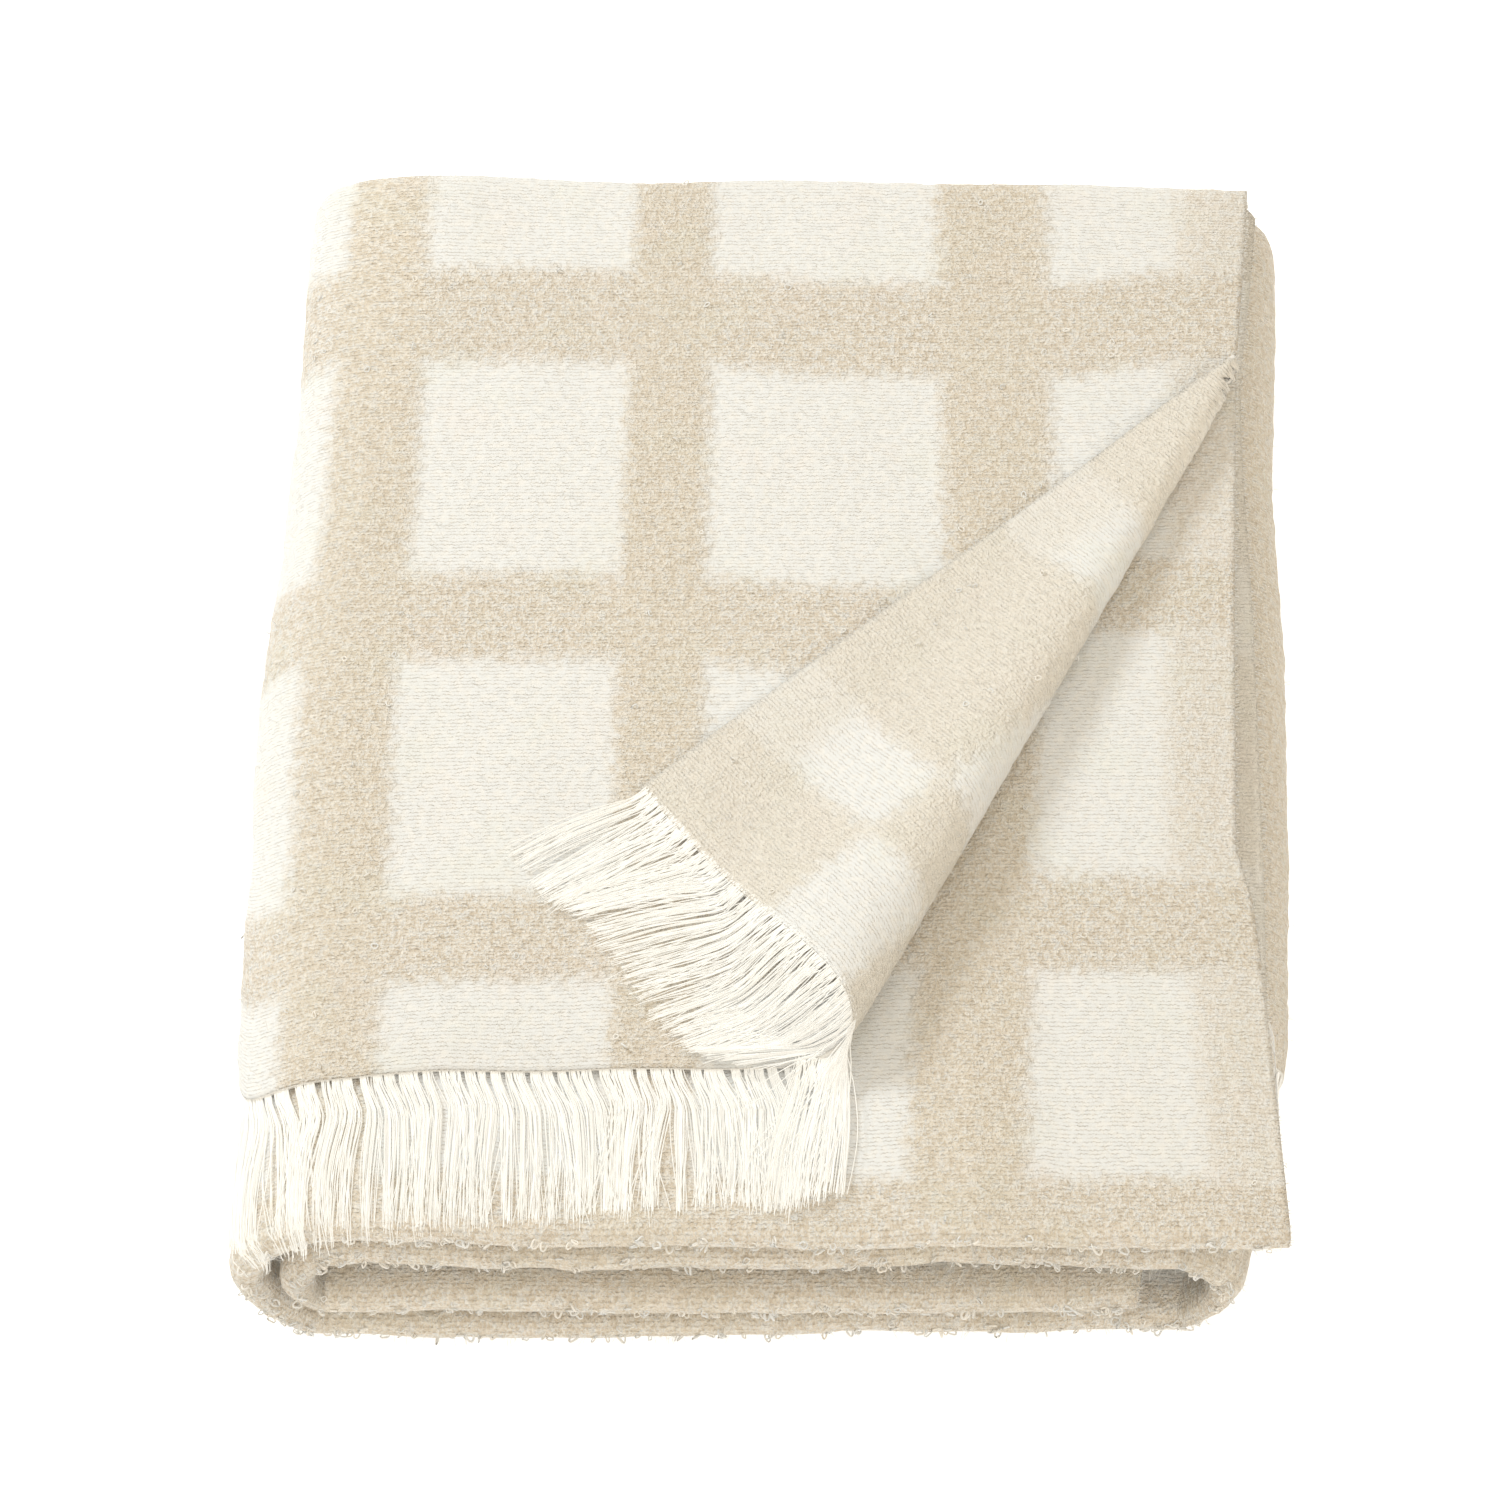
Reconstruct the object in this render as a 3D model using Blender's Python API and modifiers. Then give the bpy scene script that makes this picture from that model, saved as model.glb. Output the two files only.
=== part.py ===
"""A fringed throw blanket, folded into a flat stack with one corner turned back.

The cloth is folded along its length first, into four sheets rolled flat like a spiral, and then across its
width, again as a flat spiral of four layers. Front is -Y, the stack's selvedges are on its right (+X), and
it rests on Z = 0. One continuous cloth is split into its panels and folds, each a node, and so are the two
fringes that its ends carry.
"""

import math

import bmesh
import bpy
from mathutils import Vector

# Driving dimensions, in metres.
CLOTH_LOFT = 0.0038  # thickness of one sheet of the lofty cloth
GAP = 0.0003  # clearance between touching pieces
SHEETS = 4  # sheets in each layer, from the folds along the length
AIR_SPACE = 0.0044  # open space between the second and third layers
FOLDED_DEPTH = 0.405  # front fold to back fold
LEFT_EDGE = -0.176  # outermost line of the left folds
RIGHT_EDGE = 0.176  # outermost line of the right fold
TOP_RECESS = 0.012  # how far inside the right fold the upper layer's woven edge lies
THIRD_RECESS = 0.042  # how far inside it the third layer's woven edge lies
FRINGE_RECESS = 0.0565  # outer fringe line, behind the front fold
HIDDEN_RECESS = 0.075  # inner fringe line, behind the front fold
FRINGE_THICK = 0.0022  # how thick the strands lie
FRINGE_SHORT = 0.0025  # strands end this far behind the front fold
BUNDLE_PITCH = 0.0042  # spacing of the strand bundles
BUNDLE_START = 0.12  # a bundle's tip runs from this share of the spacing
BUNDLE_END = 0.78  # to this share
NOTCH_DEPTH = 0.009  # how far the gaps between bundles run back
HIDDEN_PITCH = 0.014  # spacing of the coarser hidden bundles
BEND_STEPS = 6  # straight pieces in each small bend
FOLD_STEPS = 12  # straight pieces in each big side fold

# The corner that is turned back over the top sheet.
TURN_START = 0.124  # where the turn starts along the right selvedge
TURN_ANGLE = math.radians(30.6)  # between the selvedge and the turn's root line
ROLL_START_RADIUS = 0.0026  # the roll's radius at the selvedge
ROLL_SLOPE = math.tan(math.radians(2.1))  # how fast the roll widens
FLAP_ANGLE = math.radians(20.0)  # width of the flap, seen from the turn's start
ROLL_SHARE = 0.35  # how much of the fan's steps go round the roll
FRINGED_SHARE = 0.62  # the corner's strands start here on the fan and run to the selvedge
FLAP_DROP = 2.4  # width over which the flap settles, in roll heights
APEX_CUT = 0.012  # the flap's mesh starts this far from the turn's start
ROOT_CLEARANCE = 0.0012  # between the flat top sheet and the roll that leaves it
CORNER_FRINGE = 0.050  # length of the strands on the turned corner
CORNER_FRINGE_ANGLE = math.radians(69.0)  # their direction, from -Y towards -X
FAN_STEPS = 16  # pieces across the flap
FAN_LENGTH_STEPS = 18  # pieces along the flap

# Derived sizes.
PITCH = CLOTH_LOFT + GAP
LAYER = SHEETS * PITCH - GAP
LAYER_PITCH = SHEETS * PITCH
THIRD_FLOOR = LAYER_PITCH
SECOND_FLOOR = 2 * LAYER_PITCH + AIR_SPACE
UPPER_FLOOR = SECOND_FLOOR + LAYER_PITCH
HEIGHT = UPPER_FLOOR + LAYER
FRONT = -FOLDED_DEPTH / 2
BACK = FOLDED_DEPTH / 2
BACK_BEND = BACK - 1.5 * PITCH - CLOTH_LOFT / 2
FRONT_BEND = FRONT + PITCH + CLOTH_LOFT / 2
FRINGE_LINE = FRONT + FRINGE_RECESS
HIDDEN_LINE = FRONT + HIDDEN_RECESS
LEFT_FOLD_X = LEFT_EDGE + HEIGHT / 2
LEFT_FOLD_INNER = HEIGHT / 2 - LAYER
INNER_FOLD_INNER = AIR_SPACE / 2 + GAP / 2
RIGHT_FOLD_OUTER = (SECOND_FLOOR + LAYER) / 2
RIGHT_FOLD_INNER = RIGHT_FOLD_OUTER - LAYER
RIGHT_FOLD_X = RIGHT_EDGE - RIGHT_FOLD_OUTER
TOP_SHEET_MID = HEIGHT - CLOTH_LOFT / 2
TOP_SELVEDGE = RIGHT_EDGE - TOP_RECESS
THIRD_SELVEDGE = RIGHT_EDGE - THIRD_RECESS

CREAM = (0.86, 0.79, 0.67, 1.0)
BEIGE = (0.80, 0.70, 0.56, 1.0)
IVORY = (0.93, 0.91, 0.87, 1.0)


def clear_scene():
    """Removes whatever the scene starts with."""
    for item in list(bpy.data.objects):
        bpy.data.objects.remove(item)


def new_collection(name):
    """A collection linked to the scene."""
    made = bpy.data.collections.new(name)
    bpy.context.scene.collection.children.link(made)
    return made


def material(name, color, roughness):
    """A plain Principled material."""
    made = bpy.data.materials.new(name)
    made.use_nodes = True
    shader = made.node_tree.nodes["Principled BSDF"]
    shader.inputs["Base Color"].default_value = color
    shader.inputs["Roughness"].default_value = roughness
    shader.inputs["Metallic"].default_value = 0.0
    return made


def add_object(name, data, finish):
    """Links a named object for this data, with its own copy of a finish."""
    made = bpy.data.objects.new(name, data)
    data.materials.append(finish.copy())
    BLANKET.objects.link(made)
    return made


def arc(centre, radius, start, end, steps=BEND_STEPS):
    """Points and outward normals along an arc, angles in degrees, ends included."""
    found = []
    for i in range(steps + 1):
        angle = math.radians(start + (end - start) * i / steps)
        normal = Vector((math.cos(angle), math.sin(angle)))
        found.append((Vector(centre) + radius * normal, normal))
    return found


def sheet_path(with_top=True):
    """The folded cloth's middle line in (y, height in the layer), from the outer fringe to the inner one."""
    middle = 1.5 * PITCH + CLOTH_LOFT / 2
    path = []
    if with_top:
        path.append((Vector((FRINGE_LINE, 3 * PITCH + CLOTH_LOFT / 2)), Vector((0, 1))))
    path += arc((BACK_BEND, middle), 1.5 * PITCH, 90, -90)
    path += arc((FRONT_BEND, PITCH + CLOTH_LOFT / 2), PITCH, 270, 90)
    inner = arc((BACK_BEND, middle), PITCH / 2, 90, -90)
    path += [(point, normal) for point, normal in inner]
    path.append((Vector((HIDDEN_LINE, PITCH + CLOTH_LOFT / 2)), Vector((0, -1))))
    return path


def sheet_outline(with_top=True):
    """The closed outline of the folded cloth's section, half a loft either side of its middle line."""
    half = CLOTH_LOFT / 2
    path = sheet_path(with_top)
    outer = [point + normal * half for point, normal in path]
    inner = [point - normal * half for point, normal in path]
    return outer + inner[::-1]


def prism(name, outline, low, high, finish):
    """A (y, z) outline that runs from x = low to x = high."""
    curve = bpy.data.curves.new(name, "CURVE")
    curve.dimensions = "2D"
    curve.fill_mode = "BOTH"
    curve.extrude = (high - low) / 2
    line = curve.splines.new("POLY")
    line.points.add(len(outline) - 1)
    for point, (y, z) in zip(line.points, outline):
        point.co = (y, z, 0, 1)
    line.use_cyclic_u = True
    made = add_object(name, curve, finish)
    made.rotation_euler = (math.pi / 2, 0, math.pi / 2)
    made.location = ((low + high) / 2, 0, 0)
    return made


def plate(name, outline, low, high, finish):
    """An (x, y) outline that runs from z = low to z = high."""
    curve = bpy.data.curves.new(name, "CURVE")
    curve.dimensions = "2D"
    curve.fill_mode = "BOTH"
    curve.extrude = (high - low) / 2
    line = curve.splines.new("POLY")
    line.points.add(len(outline) - 1)
    for point, (x, y) in zip(line.points, outline):
        point.co = (x, y, 0, 1)
    line.use_cyclic_u = True
    made = add_object(name, curve, finish)
    made.location = (0, 0, (low + high) / 2)
    return made


def turned(name, outline, centre, inner, side, finish, notch=0.0):
    """A (y, height) outline swept half a turn round a side fold's axis, on side -1 (left) or 1 (right).

    inner is the fold's inner radius. notch draws every second ring's front back, as between bundles.
    """
    work = bmesh.new()
    x, z = centre
    ring = [work.verts.new((x, y, z + inner + height)) for y, height in outline]
    start = work.faces.new(ring)
    bmesh.ops.spin(
        work,
        geom=[start, *start.edges, *ring],
        cent=(x, 0, z),
        axis=(0, side, 0),
        angle=math.pi,
        steps=FOLD_STEPS,
        use_duplicate=False,
    )
    if notch:
        front = min(y for y, _ in outline)
        for vert in work.verts:
            turn = math.atan2(side * (vert.co.x - x), vert.co.z - z)
            if vert.co.y < front + GAP and round(turn * FOLD_STEPS / math.pi) % 2:
                vert.co.y += notch
    bmesh.ops.recalc_face_normals(work, faces=work.faces[:])
    mesh = bpy.data.meshes.new(name)
    work.to_mesh(mesh)
    work.free()
    return add_object(name, mesh, finish)


def comb(low, high, root, tip, pitch, notch):
    """An (x, y) outline with a straight edge at root and a notched one at tip, towards -Y."""
    count = max(2, round((high - low) / pitch))
    step = (high - low) / count
    outline = [(high, root), (low, root)]
    for i in range(count):
        left = low + i * step
        outline.append((left + BUNDLE_START * step, tip))
        outline.append((left + BUNDLE_END * step, tip))
        if i < count - 1:
            outline.append((left + step, tip + notch))
    return outline


def layers():
    """The four layers, each one a folded stretch of the cloth, and the fringe on both of its edges."""
    flip = [(y, LAYER - height) for y, height in sheet_outline()]
    face_up = sheet_outline()
    start = LEFT_FOLD_X + GAP
    rows = (
        ("upper_layer", UPPER_FLOOR, False, TOP_SELVEDGE, sheet_outline(with_top=False)),
        ("second_layer", SECOND_FLOOR, False, RIGHT_FOLD_X - GAP, face_up),
        ("third_layer", THIRD_FLOOR, True, THIRD_SELVEDGE, flip),
        ("bottom_layer", 0.0, True, RIGHT_FOLD_X - GAP, flip),
    )
    for name, floor, flipped, end, outline in rows:
        prism(name, [(y, floor + z) for y, z in outline], start, end, CLOTH)
        middle = PITCH + CLOTH_LOFT / 2
        middle = floor + (LAYER - middle if flipped else middle)
        teeth = comb(start, end, HIDDEN_LINE - GAP, FRONT_BEND, HIDDEN_PITCH, NOTCH_DEPTH)
        plate("hidden_fringe_" + name, teeth, middle - FRINGE_THICK / 2, middle + FRINGE_THICK / 2, STRANDS)


def outer_fringes():
    """The fringe of the outer end, where it lies on each layer's front."""
    start = LEFT_FOLD_X + GAP
    tip = FRONT + FRINGE_SHORT
    bed = 3 * PITCH
    clear = (CLOTH_LOFT - FRINGE_THICK) / 2
    rows = (
        ("front_fringe", UPPER_FLOOR + bed, turn_root()[0] - GAP, BUNDLE_PITCH),
        ("second_layer_fringe", SECOND_FLOOR + bed, RIGHT_FOLD_X - GAP, HIDDEN_PITCH),
        ("third_layer_fringe", THIRD_FLOOR, THIRD_SELVEDGE, HIDDEN_PITCH),
        ("underside_fringe", 0.0, RIGHT_FOLD_X - GAP, HIDDEN_PITCH),
    )
    for name, low, end, pitch in rows:
        teeth = comb(start, end, FRINGE_LINE - GAP, tip, pitch, NOTCH_DEPTH)
        plate(name, teeth, low + clear, low + clear + FRINGE_THICK, STRANDS)


def side_folds():
    """The three folds that join the layers, and the fringes that follow them round."""
    middle = HEIGHT / 2
    right_middle = RIGHT_FOLD_OUTER
    rows = (
        ("left_outer", (LEFT_FOLD_X, middle), LEFT_FOLD_INNER, -1),
        ("left_inner", (LEFT_FOLD_X, middle), INNER_FOLD_INNER, -1),
        ("right_outer", (RIGHT_FOLD_X, right_middle), RIGHT_FOLD_INNER, 1),
    )
    outline = sheet_outline()
    tip = FRONT + FRINGE_SHORT
    outer_low = 3 * PITCH + (CLOTH_LOFT - FRINGE_THICK) / 2
    inner_low = PITCH + (CLOTH_LOFT - FRINGE_THICK) / 2
    outer = strip(tip, FRINGE_LINE - GAP, outer_low)
    inner = strip(FRONT_BEND, HIDDEN_LINE - GAP, inner_low)
    for name, centre, inside, side in rows:
        turned(name + "_fold", outline, centre, inside, side, CLOTH)
        turned(name + "_fringe", outer, centre, inside, side, STRANDS, NOTCH_DEPTH)
        turned("hidden_fringe_" + name, inner, centre, inside, side, STRANDS, NOTCH_DEPTH)


def strip(front, back, low):
    """The (y, height) section of a band of strands."""
    high = low + FRINGE_THICK
    return [(front, low), (back, low), (back, high), (front, high)]


def turn_point(distance, angle):
    """A point at this distance from the turn's start, at this angle from -Y towards -X."""
    x = TOP_SELVEDGE - distance * math.sin(angle)
    y = TURN_START - distance * math.cos(angle)
    return x, y


def turn_root():
    """Where the turn's root line meets the fringe line."""
    reach = (TURN_START - FRINGE_LINE) / math.cos(TURN_ANGLE)
    return turn_point(reach, TURN_ANGLE)


def top_panel():
    """The flat part of the top sheet, with the turned corner's cut."""
    start = LEFT_FOLD_X + GAP
    end = BACK_BEND - GAP
    root = turn_root()
    outline = [
        (start, FRINGE_LINE),
        root,
        (TOP_SELVEDGE, TURN_START),
        (TOP_SELVEDGE, end),
        (start, end),
    ]
    plate("top_panel", outline, HEIGHT - CLOTH_LOFT, HEIGHT, CLOTH)


def smooth(value):
    """A smooth step from 0 to 1."""
    value = min(1.0, max(0.0, value))
    return value * value * (3 - 2 * value)


def corner_point(distance, share):
    """A point on the turned corner: share 0 is the turn's root, ROLL_SHARE the roll's top and 1 the selvedge."""
    along = Vector((-math.sin(TURN_ANGLE), -math.cos(TURN_ANGLE), 0))
    across = Vector((-math.cos(TURN_ANGLE), math.sin(TURN_ANGLE), 0))
    radius = ROLL_START_RADIUS + ROLL_SLOPE * distance
    origin = Vector((TOP_SELVEDGE, TURN_START, TOP_SHEET_MID)) - across * ROOT_CLEARANCE
    if share < ROLL_SHARE:
        angle = math.pi * share / ROLL_SHARE
        lift = Vector((0, 0, radius * (1 - math.cos(angle))))
        return origin + along * distance - across * radius * math.sin(angle) + lift
    turn = FLAP_ANGLE * (share - ROLL_SHARE) / (1 - ROLL_SHARE)
    side = distance * math.sin(turn)
    settle = smooth(side / (FLAP_DROP * 2 * radius))
    rest = PITCH + GAP
    height = rest + (2 * radius - rest) * (1 - settle)
    height = max(height, PITCH)
    return origin + along * distance * math.cos(turn) + across * side + Vector((0, 0, height))


def corner_reach(share):
    """How far the turned corner runs from the turn's start, to its fringe line."""
    flat = TURN_ANGLE * (1 - share)
    return (TURN_START - FRINGE_LINE) / math.cos(flat)


def turned_corner():
    """The rolled corner: a fan of the top sheet's cloth round the turn's start."""
    work = bmesh.new()
    rows = []
    for i in range(FAN_STEPS + 1):
        share = i / FAN_STEPS
        reach = corner_reach(share)
        row = []
        for j in range(FAN_LENGTH_STEPS + 1):
            distance = APEX_CUT + (reach - APEX_CUT) * j / FAN_LENGTH_STEPS
            row.append(work.verts.new(corner_point(distance, share)))
        rows.append(row)
    for near, far in zip(rows, rows[1:]):
        for j in range(FAN_LENGTH_STEPS):
            work.faces.new((near[j], near[j + 1], far[j + 1], far[j]))
    mesh = bpy.data.meshes.new("turned_corner")
    work.to_mesh(mesh)
    work.free()
    made = add_object("turned_corner", mesh, CLOTH)
    thick = made.modifiers.new("loft", "SOLIDIFY")
    thick.thickness = CLOTH_LOFT
    thick.offset = 0.0
    mesh.shade_smooth()


def corner_fringe():
    """The strands on the turned corner, which lie on the top sheet."""
    flow = Vector((-math.sin(CORNER_FRINGE_ANGLE), -math.cos(CORNER_FRINGE_ANGLE)))
    first = corner_point(corner_reach(1.0), 1.0).xy
    last = corner_point(corner_reach(FRINGED_SHARE), FRINGED_SHARE).xy
    line = last - first
    count = round(line.length / BUNDLE_PITCH)
    step = line / count
    clear = flow * 2 * GAP
    outline = [last + clear, first + clear]
    for i in range(count):
        left = first + step * i
        outline.append(left + step * BUNDLE_START + flow * CORNER_FRINGE)
        outline.append(left + step * BUNDLE_END + flow * CORNER_FRINGE)
        if i < count - 1:
            outline.append(left + step + flow * (CORNER_FRINGE - NOTCH_DEPTH))
    low = HEIGHT + GAP
    plate("corner_fringe", outline, low, low + FRINGE_THICK, STRANDS)


clear_scene()
BLANKET = new_collection("folded_throw_blanket")
CLOTH = material("woven_cloth", CREAM, 0.95)
STRANDS = material("fringe_strands", IVORY, 0.6)
layers()
side_folds()
outer_fringes()
top_panel()
turned_corner()
corner_fringe()
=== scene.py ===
"""The folded throw blanket's looks: one continuous woven cloth, its fringes and its loose yarn."""

import math

import bpy
import numpy as np
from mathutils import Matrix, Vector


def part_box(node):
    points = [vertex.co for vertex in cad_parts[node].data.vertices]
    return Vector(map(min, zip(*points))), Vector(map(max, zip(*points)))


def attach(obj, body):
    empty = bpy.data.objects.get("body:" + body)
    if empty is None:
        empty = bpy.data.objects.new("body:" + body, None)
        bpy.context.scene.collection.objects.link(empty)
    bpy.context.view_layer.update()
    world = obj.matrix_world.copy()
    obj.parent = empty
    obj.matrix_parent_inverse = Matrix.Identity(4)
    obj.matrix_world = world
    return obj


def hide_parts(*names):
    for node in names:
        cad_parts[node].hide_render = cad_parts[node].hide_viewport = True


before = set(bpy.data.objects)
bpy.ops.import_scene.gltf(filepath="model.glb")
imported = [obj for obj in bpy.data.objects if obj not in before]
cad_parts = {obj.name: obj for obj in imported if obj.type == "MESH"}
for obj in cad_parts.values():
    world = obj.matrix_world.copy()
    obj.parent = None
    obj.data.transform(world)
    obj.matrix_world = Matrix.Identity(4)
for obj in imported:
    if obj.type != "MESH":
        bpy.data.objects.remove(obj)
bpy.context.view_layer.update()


def corners(node):
    """The lowest and the highest corner of a node's box."""
    return [np.array(corner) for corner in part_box(node)]


TOP_LOW, TOP_HIGH = corners("top_panel")
SECOND_LOW, SECOND_HIGH = corners("second_layer")
THIRD_HIGH = corners("third_layer")[1]
UPPER_LOW = corners("upper_layer")[0]
LEFT_LOW = corners("left_outer_fold")[0]
RIGHT_HIGH = corners("right_outer_fold")[1]
HIDDEN_HIGH = corners("hidden_fringe_upper_layer")[1]

# The folded stack, from the frame, in metres.
GAP = 0.0003  # clearance between touching sheets
LOFT = TOP_HIGH[2] - TOP_LOW[2]
HALF = LOFT / 2
PITCH = LOFT + GAP
LAYER = SECOND_HIGH[2] - SECOND_LOW[2]
HEIGHT = TOP_HIGH[2]
FRONT = SECOND_LOW[1]
BACK = SECOND_HIGH[1]
FRINGE_LINE = TOP_LOW[1]
HIDDEN_LINE = HIDDEN_HIGH[1] + GAP
BACK_BEND = BACK - 1.5 * PITCH - HALF
FRONT_BEND = FRONT + PITCH + HALF
LEFT_EDGE = LEFT_LOW[0]
RIGHT_EDGE = RIGHT_HIGH[0]
LEFT_FOLD_X = LEFT_EDGE + HEIGHT / 2
LEFT_INNER = HEIGHT / 2 - LAYER
INNER_INNER = (SECOND_LOW[2] - THIRD_HIGH[2]) / 2
RIGHT_OUTER = RIGHT_HIGH[2] / 2
RIGHT_INNER = RIGHT_OUTER - LAYER
RIGHT_FOLD_X = RIGHT_EDGE - RIGHT_OUTER
TOP_SELVEDGE = TOP_HIGH[0]
THIRD_SELVEDGE = THIRD_HIGH[0]
SHEET_REACH = LAYER - HALF

# The turned corner.
TURN_START = 0.124  # where the turn starts along the right selvedge
TURN_ANGLE = math.radians(30.6)  # between the selvedge and the turn's root line
ROLL_START_RADIUS = 0.0026  # the roll's radius at the selvedge
ROLL_SLOPE = math.tan(math.radians(2.1))  # how fast the roll widens
FLAP_ANGLE = math.radians(20.0)  # width of the flap, seen from the turn's start
ROLL_SHARE = 0.35  # how much of the way to the selvedge goes round the roll
ROLL_SHARE_SETTLED = 0.3  # how far round the corner its own waves are whole
FLAP_DROP = 2.4  # width over which the flap settles, in roll heights

rng = np.random.default_rng(11)


def smooth(value):
    """A smooth step from 0 to 1."""
    value = np.clip(value, 0.0, 1.0)
    return value * value * (3 - 2 * value)


def rise(value, start, width):
    """A smooth step from 0 at start to 1 a width further on. A negative width runs the other way."""
    return smooth((value - start) / width)


def lattice(i, j, seed):
    """A repeatable random number from -1 to 1 for each whole-number place."""
    mixed = np.sin(i * 127.1 + j * 311.7 + seed * 74.7) * 43758.5453
    return 2 * (mixed - np.floor(mixed)) - 1


def noise(u, v=0.0, seed=0):
    """Smooth noise from -1 to 1, with features about one unit apart."""
    u, v = np.broadcast_arrays(np.asarray(u, float), np.asarray(v, float))
    i = np.floor(u)
    j = np.floor(v)
    fu = smooth(u - i)
    fv = smooth(v - j)
    low = lattice(i, j, seed) * (1 - fu) + lattice(i + 1, j, seed) * fu
    high = lattice(i, j + 1, seed) * (1 - fu) + lattice(i + 1, j + 1, seed) * fu
    return low * (1 - fv) + high * fv


def waves(u, v, *shapes):
    """Smooth unevenness: each shape is a height, its lengths along u and v in metres, and a seed."""
    return sum(size * noise(u / length, v / breadth, seed) for size, length, breadth, seed in shapes)


# The way round the stack across the cloth's width, as lengths along the outermost sheet.
LEFT_RADIUS = LEFT_INNER + SHEET_REACH
RIGHT_RADIUS = RIGHT_INNER + SHEET_REACH
INNER_RADIUS = INNER_INNER + SHEET_REACH
RUNS = np.cumsum(
    [
        0.0,
        TOP_SELVEDGE - LEFT_FOLD_X,
        math.pi * LEFT_RADIUS,
        RIGHT_FOLD_X - LEFT_FOLD_X,
        math.pi * RIGHT_RADIUS,
        RIGHT_FOLD_X - LEFT_FOLD_X,
        math.pi * INNER_RADIUS,
        THIRD_SELVEDGE - LEFT_FOLD_X,
    ]
)
WIDTH = RUNS[-1]
BEND_POINTS = 25  # points round each bend


def section_path():
    """The folded cloth's middle line in (y, height), outer fringe to inner, and the length to each point."""
    middle = 1.5 * PITCH + HALF
    turns = (
        ((BACK_BEND, middle), 1.5 * PITCH, 90, -90),
        ((FRONT_BEND, PITCH + HALF), PITCH, 270, 90),
        ((BACK_BEND, middle), PITCH / 2, 90, -90),
    )
    points = [(FRINGE_LINE, 3 * PITCH + HALF)]
    for (y, z), radius, start, end in turns:
        for angle in np.radians(np.linspace(start, end, BEND_POINTS)):
            points.append((y + radius * math.cos(angle), z + radius * math.sin(angle)))
    points.append((HIDDEN_LINE, PITCH + HALF))
    points = np.array(points)
    steps = np.hypot(*np.diff(points, axis=0).T)
    return points, np.concatenate([[0.0], np.cumsum(steps)])


SECTION, SECTION_LENGTH = section_path()
LENGTH = SECTION_LENGTH[-1]
TOP_LENGTH = BACK_BEND - FRINGE_LINE
UNDER_START = SECTION_LENGTH[BEND_POINTS]
LIP_START = SECTION_LENGTH[BEND_POINTS + 1]
LIP_END = SECTION_LENGTH[2 * BEND_POINTS]
INNER_BEND_START = SECTION_LENGTH[2 * BEND_POINTS + 1]
INNER_BEND_END = SECTION_LENGTH[3 * BEND_POINTS]

# How the stack is less than perfect: how far its edges stray at each depth, in metres.
LEFT_WANDER_Y = (-0.2, -0.15, -0.08, 0.0, 0.06, 0.12, 0.205)
LEFT_WANDER = (-0.005, -0.003, -0.0025, -0.001, 0.0028, 0.0072, 0.0140)
RIGHT_WANDER_Y = (-0.2, -0.145, -0.06, 0.025, 0.09, 0.17, 0.205)
RIGHT_WANDER = (-0.019, -0.0055, 0.0, 0.0035, 0.003, 0.009, 0.010)
TOP_EDGE_Y = (0.124, 0.165, 0.205)
TOP_EDGE = (0.0, 0.0045, 0.0085)
TOP_EDGE_FADE = 0.09
SECOND_EDGE_Y = (-0.2, -0.12, -0.085, -0.066, 0.02, 0.12)
SECOND_EDGE = (0.0005, -0.003, -0.0055, -0.010, -0.006, 0.0)
SECOND_EDGE_FADE = 0.13

# How far the front bends stand out, at each place round the spiral: even numbers start a layer, odd a fold.
LIP_STATIONS = (0, 1, 1.5, 1.9, 2.5, 3, 3.5, 4, 5, 5.5, 6, 7)
LIP_WANDER = (
    -0.0016, -0.0016, -0.0065, -0.014, -0.0145, -0.012, -0.0065, -0.0024, -0.0026, -0.010, -0.0125, -0.0125
)

# How far the upper layers rise or sag along the front.
SAG_X = (-0.16, -0.128, -0.105, -0.07, 0.02, 0.062, 0.095, 0.16)
SAG = (-0.001, 0.0032, 0.0012, -0.0022, -0.0022, 0.0034, -0.0008, -0.0036)

# Lumps at the back: the bulging left shoulder and the hump beside it.
SHOULDER = 0.0125
HUMP = 0.0035
HUMP_X = -0.13
HUMP_WIDTH = 0.022

# Where each of these takes effect: the place that it starts from, and the distance to its full size.
LEFT_ZONE = (0.02, -0.19)
RIGHT_ZONE = (0.02, 0.15)
FRONT_ZONE = (-0.135, -0.06)
BACK_ZONE = (0.14, 0.06)
SAG_ZONE = (-0.06, -0.12)
SHOULDER_X_ZONE = (LEFT_FOLD_X + 0.012, -0.03)
SHOULDER_HEIGHT_ZONE = (0.5, 0.4)
SHOULDER_Y_ZONE = (0.06, 0.12)

# Small waves: height, length along the first and the second direction, and seed.
LEFT_WAVE = (0.0009, 0.03, 1.0, 3)
LIP_WAVES = ((0.0011, 0.045, 1.0, 5), (0.0005, 0.013, 1.0, 6))
BACK_WAVE = (0.0016, 0.05, 0.02, 7)
LONG_BACK_WAVE = (0.002, 0.12, 1.0, 8)
LEVEL_WAVES = ((0.0009, 0.07, 0.09, 9), (0.0004, 0.022, 0.03, 10))
ROLL_WAVE = (0.0008, 0.035, 0.04, 14)
FRINGE_LINE_WAVE = (0.0012, 0.03, 1.0, 12)

# How the fringe line leaves the straight: it dips towards the left fold and climbs again under it.
FRINGE_DIP = -0.0065
FRINGE_DIP_ZONE = (0.2, 0.16)
FRINGE_DIP_END = (0.022, 0.03)
FRINGE_CLIMB = 0.012
FRINGE_CLIMB_ZONE = (0.03, 0.03)
FRINGE_DIP_FADE = 0.16


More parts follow.
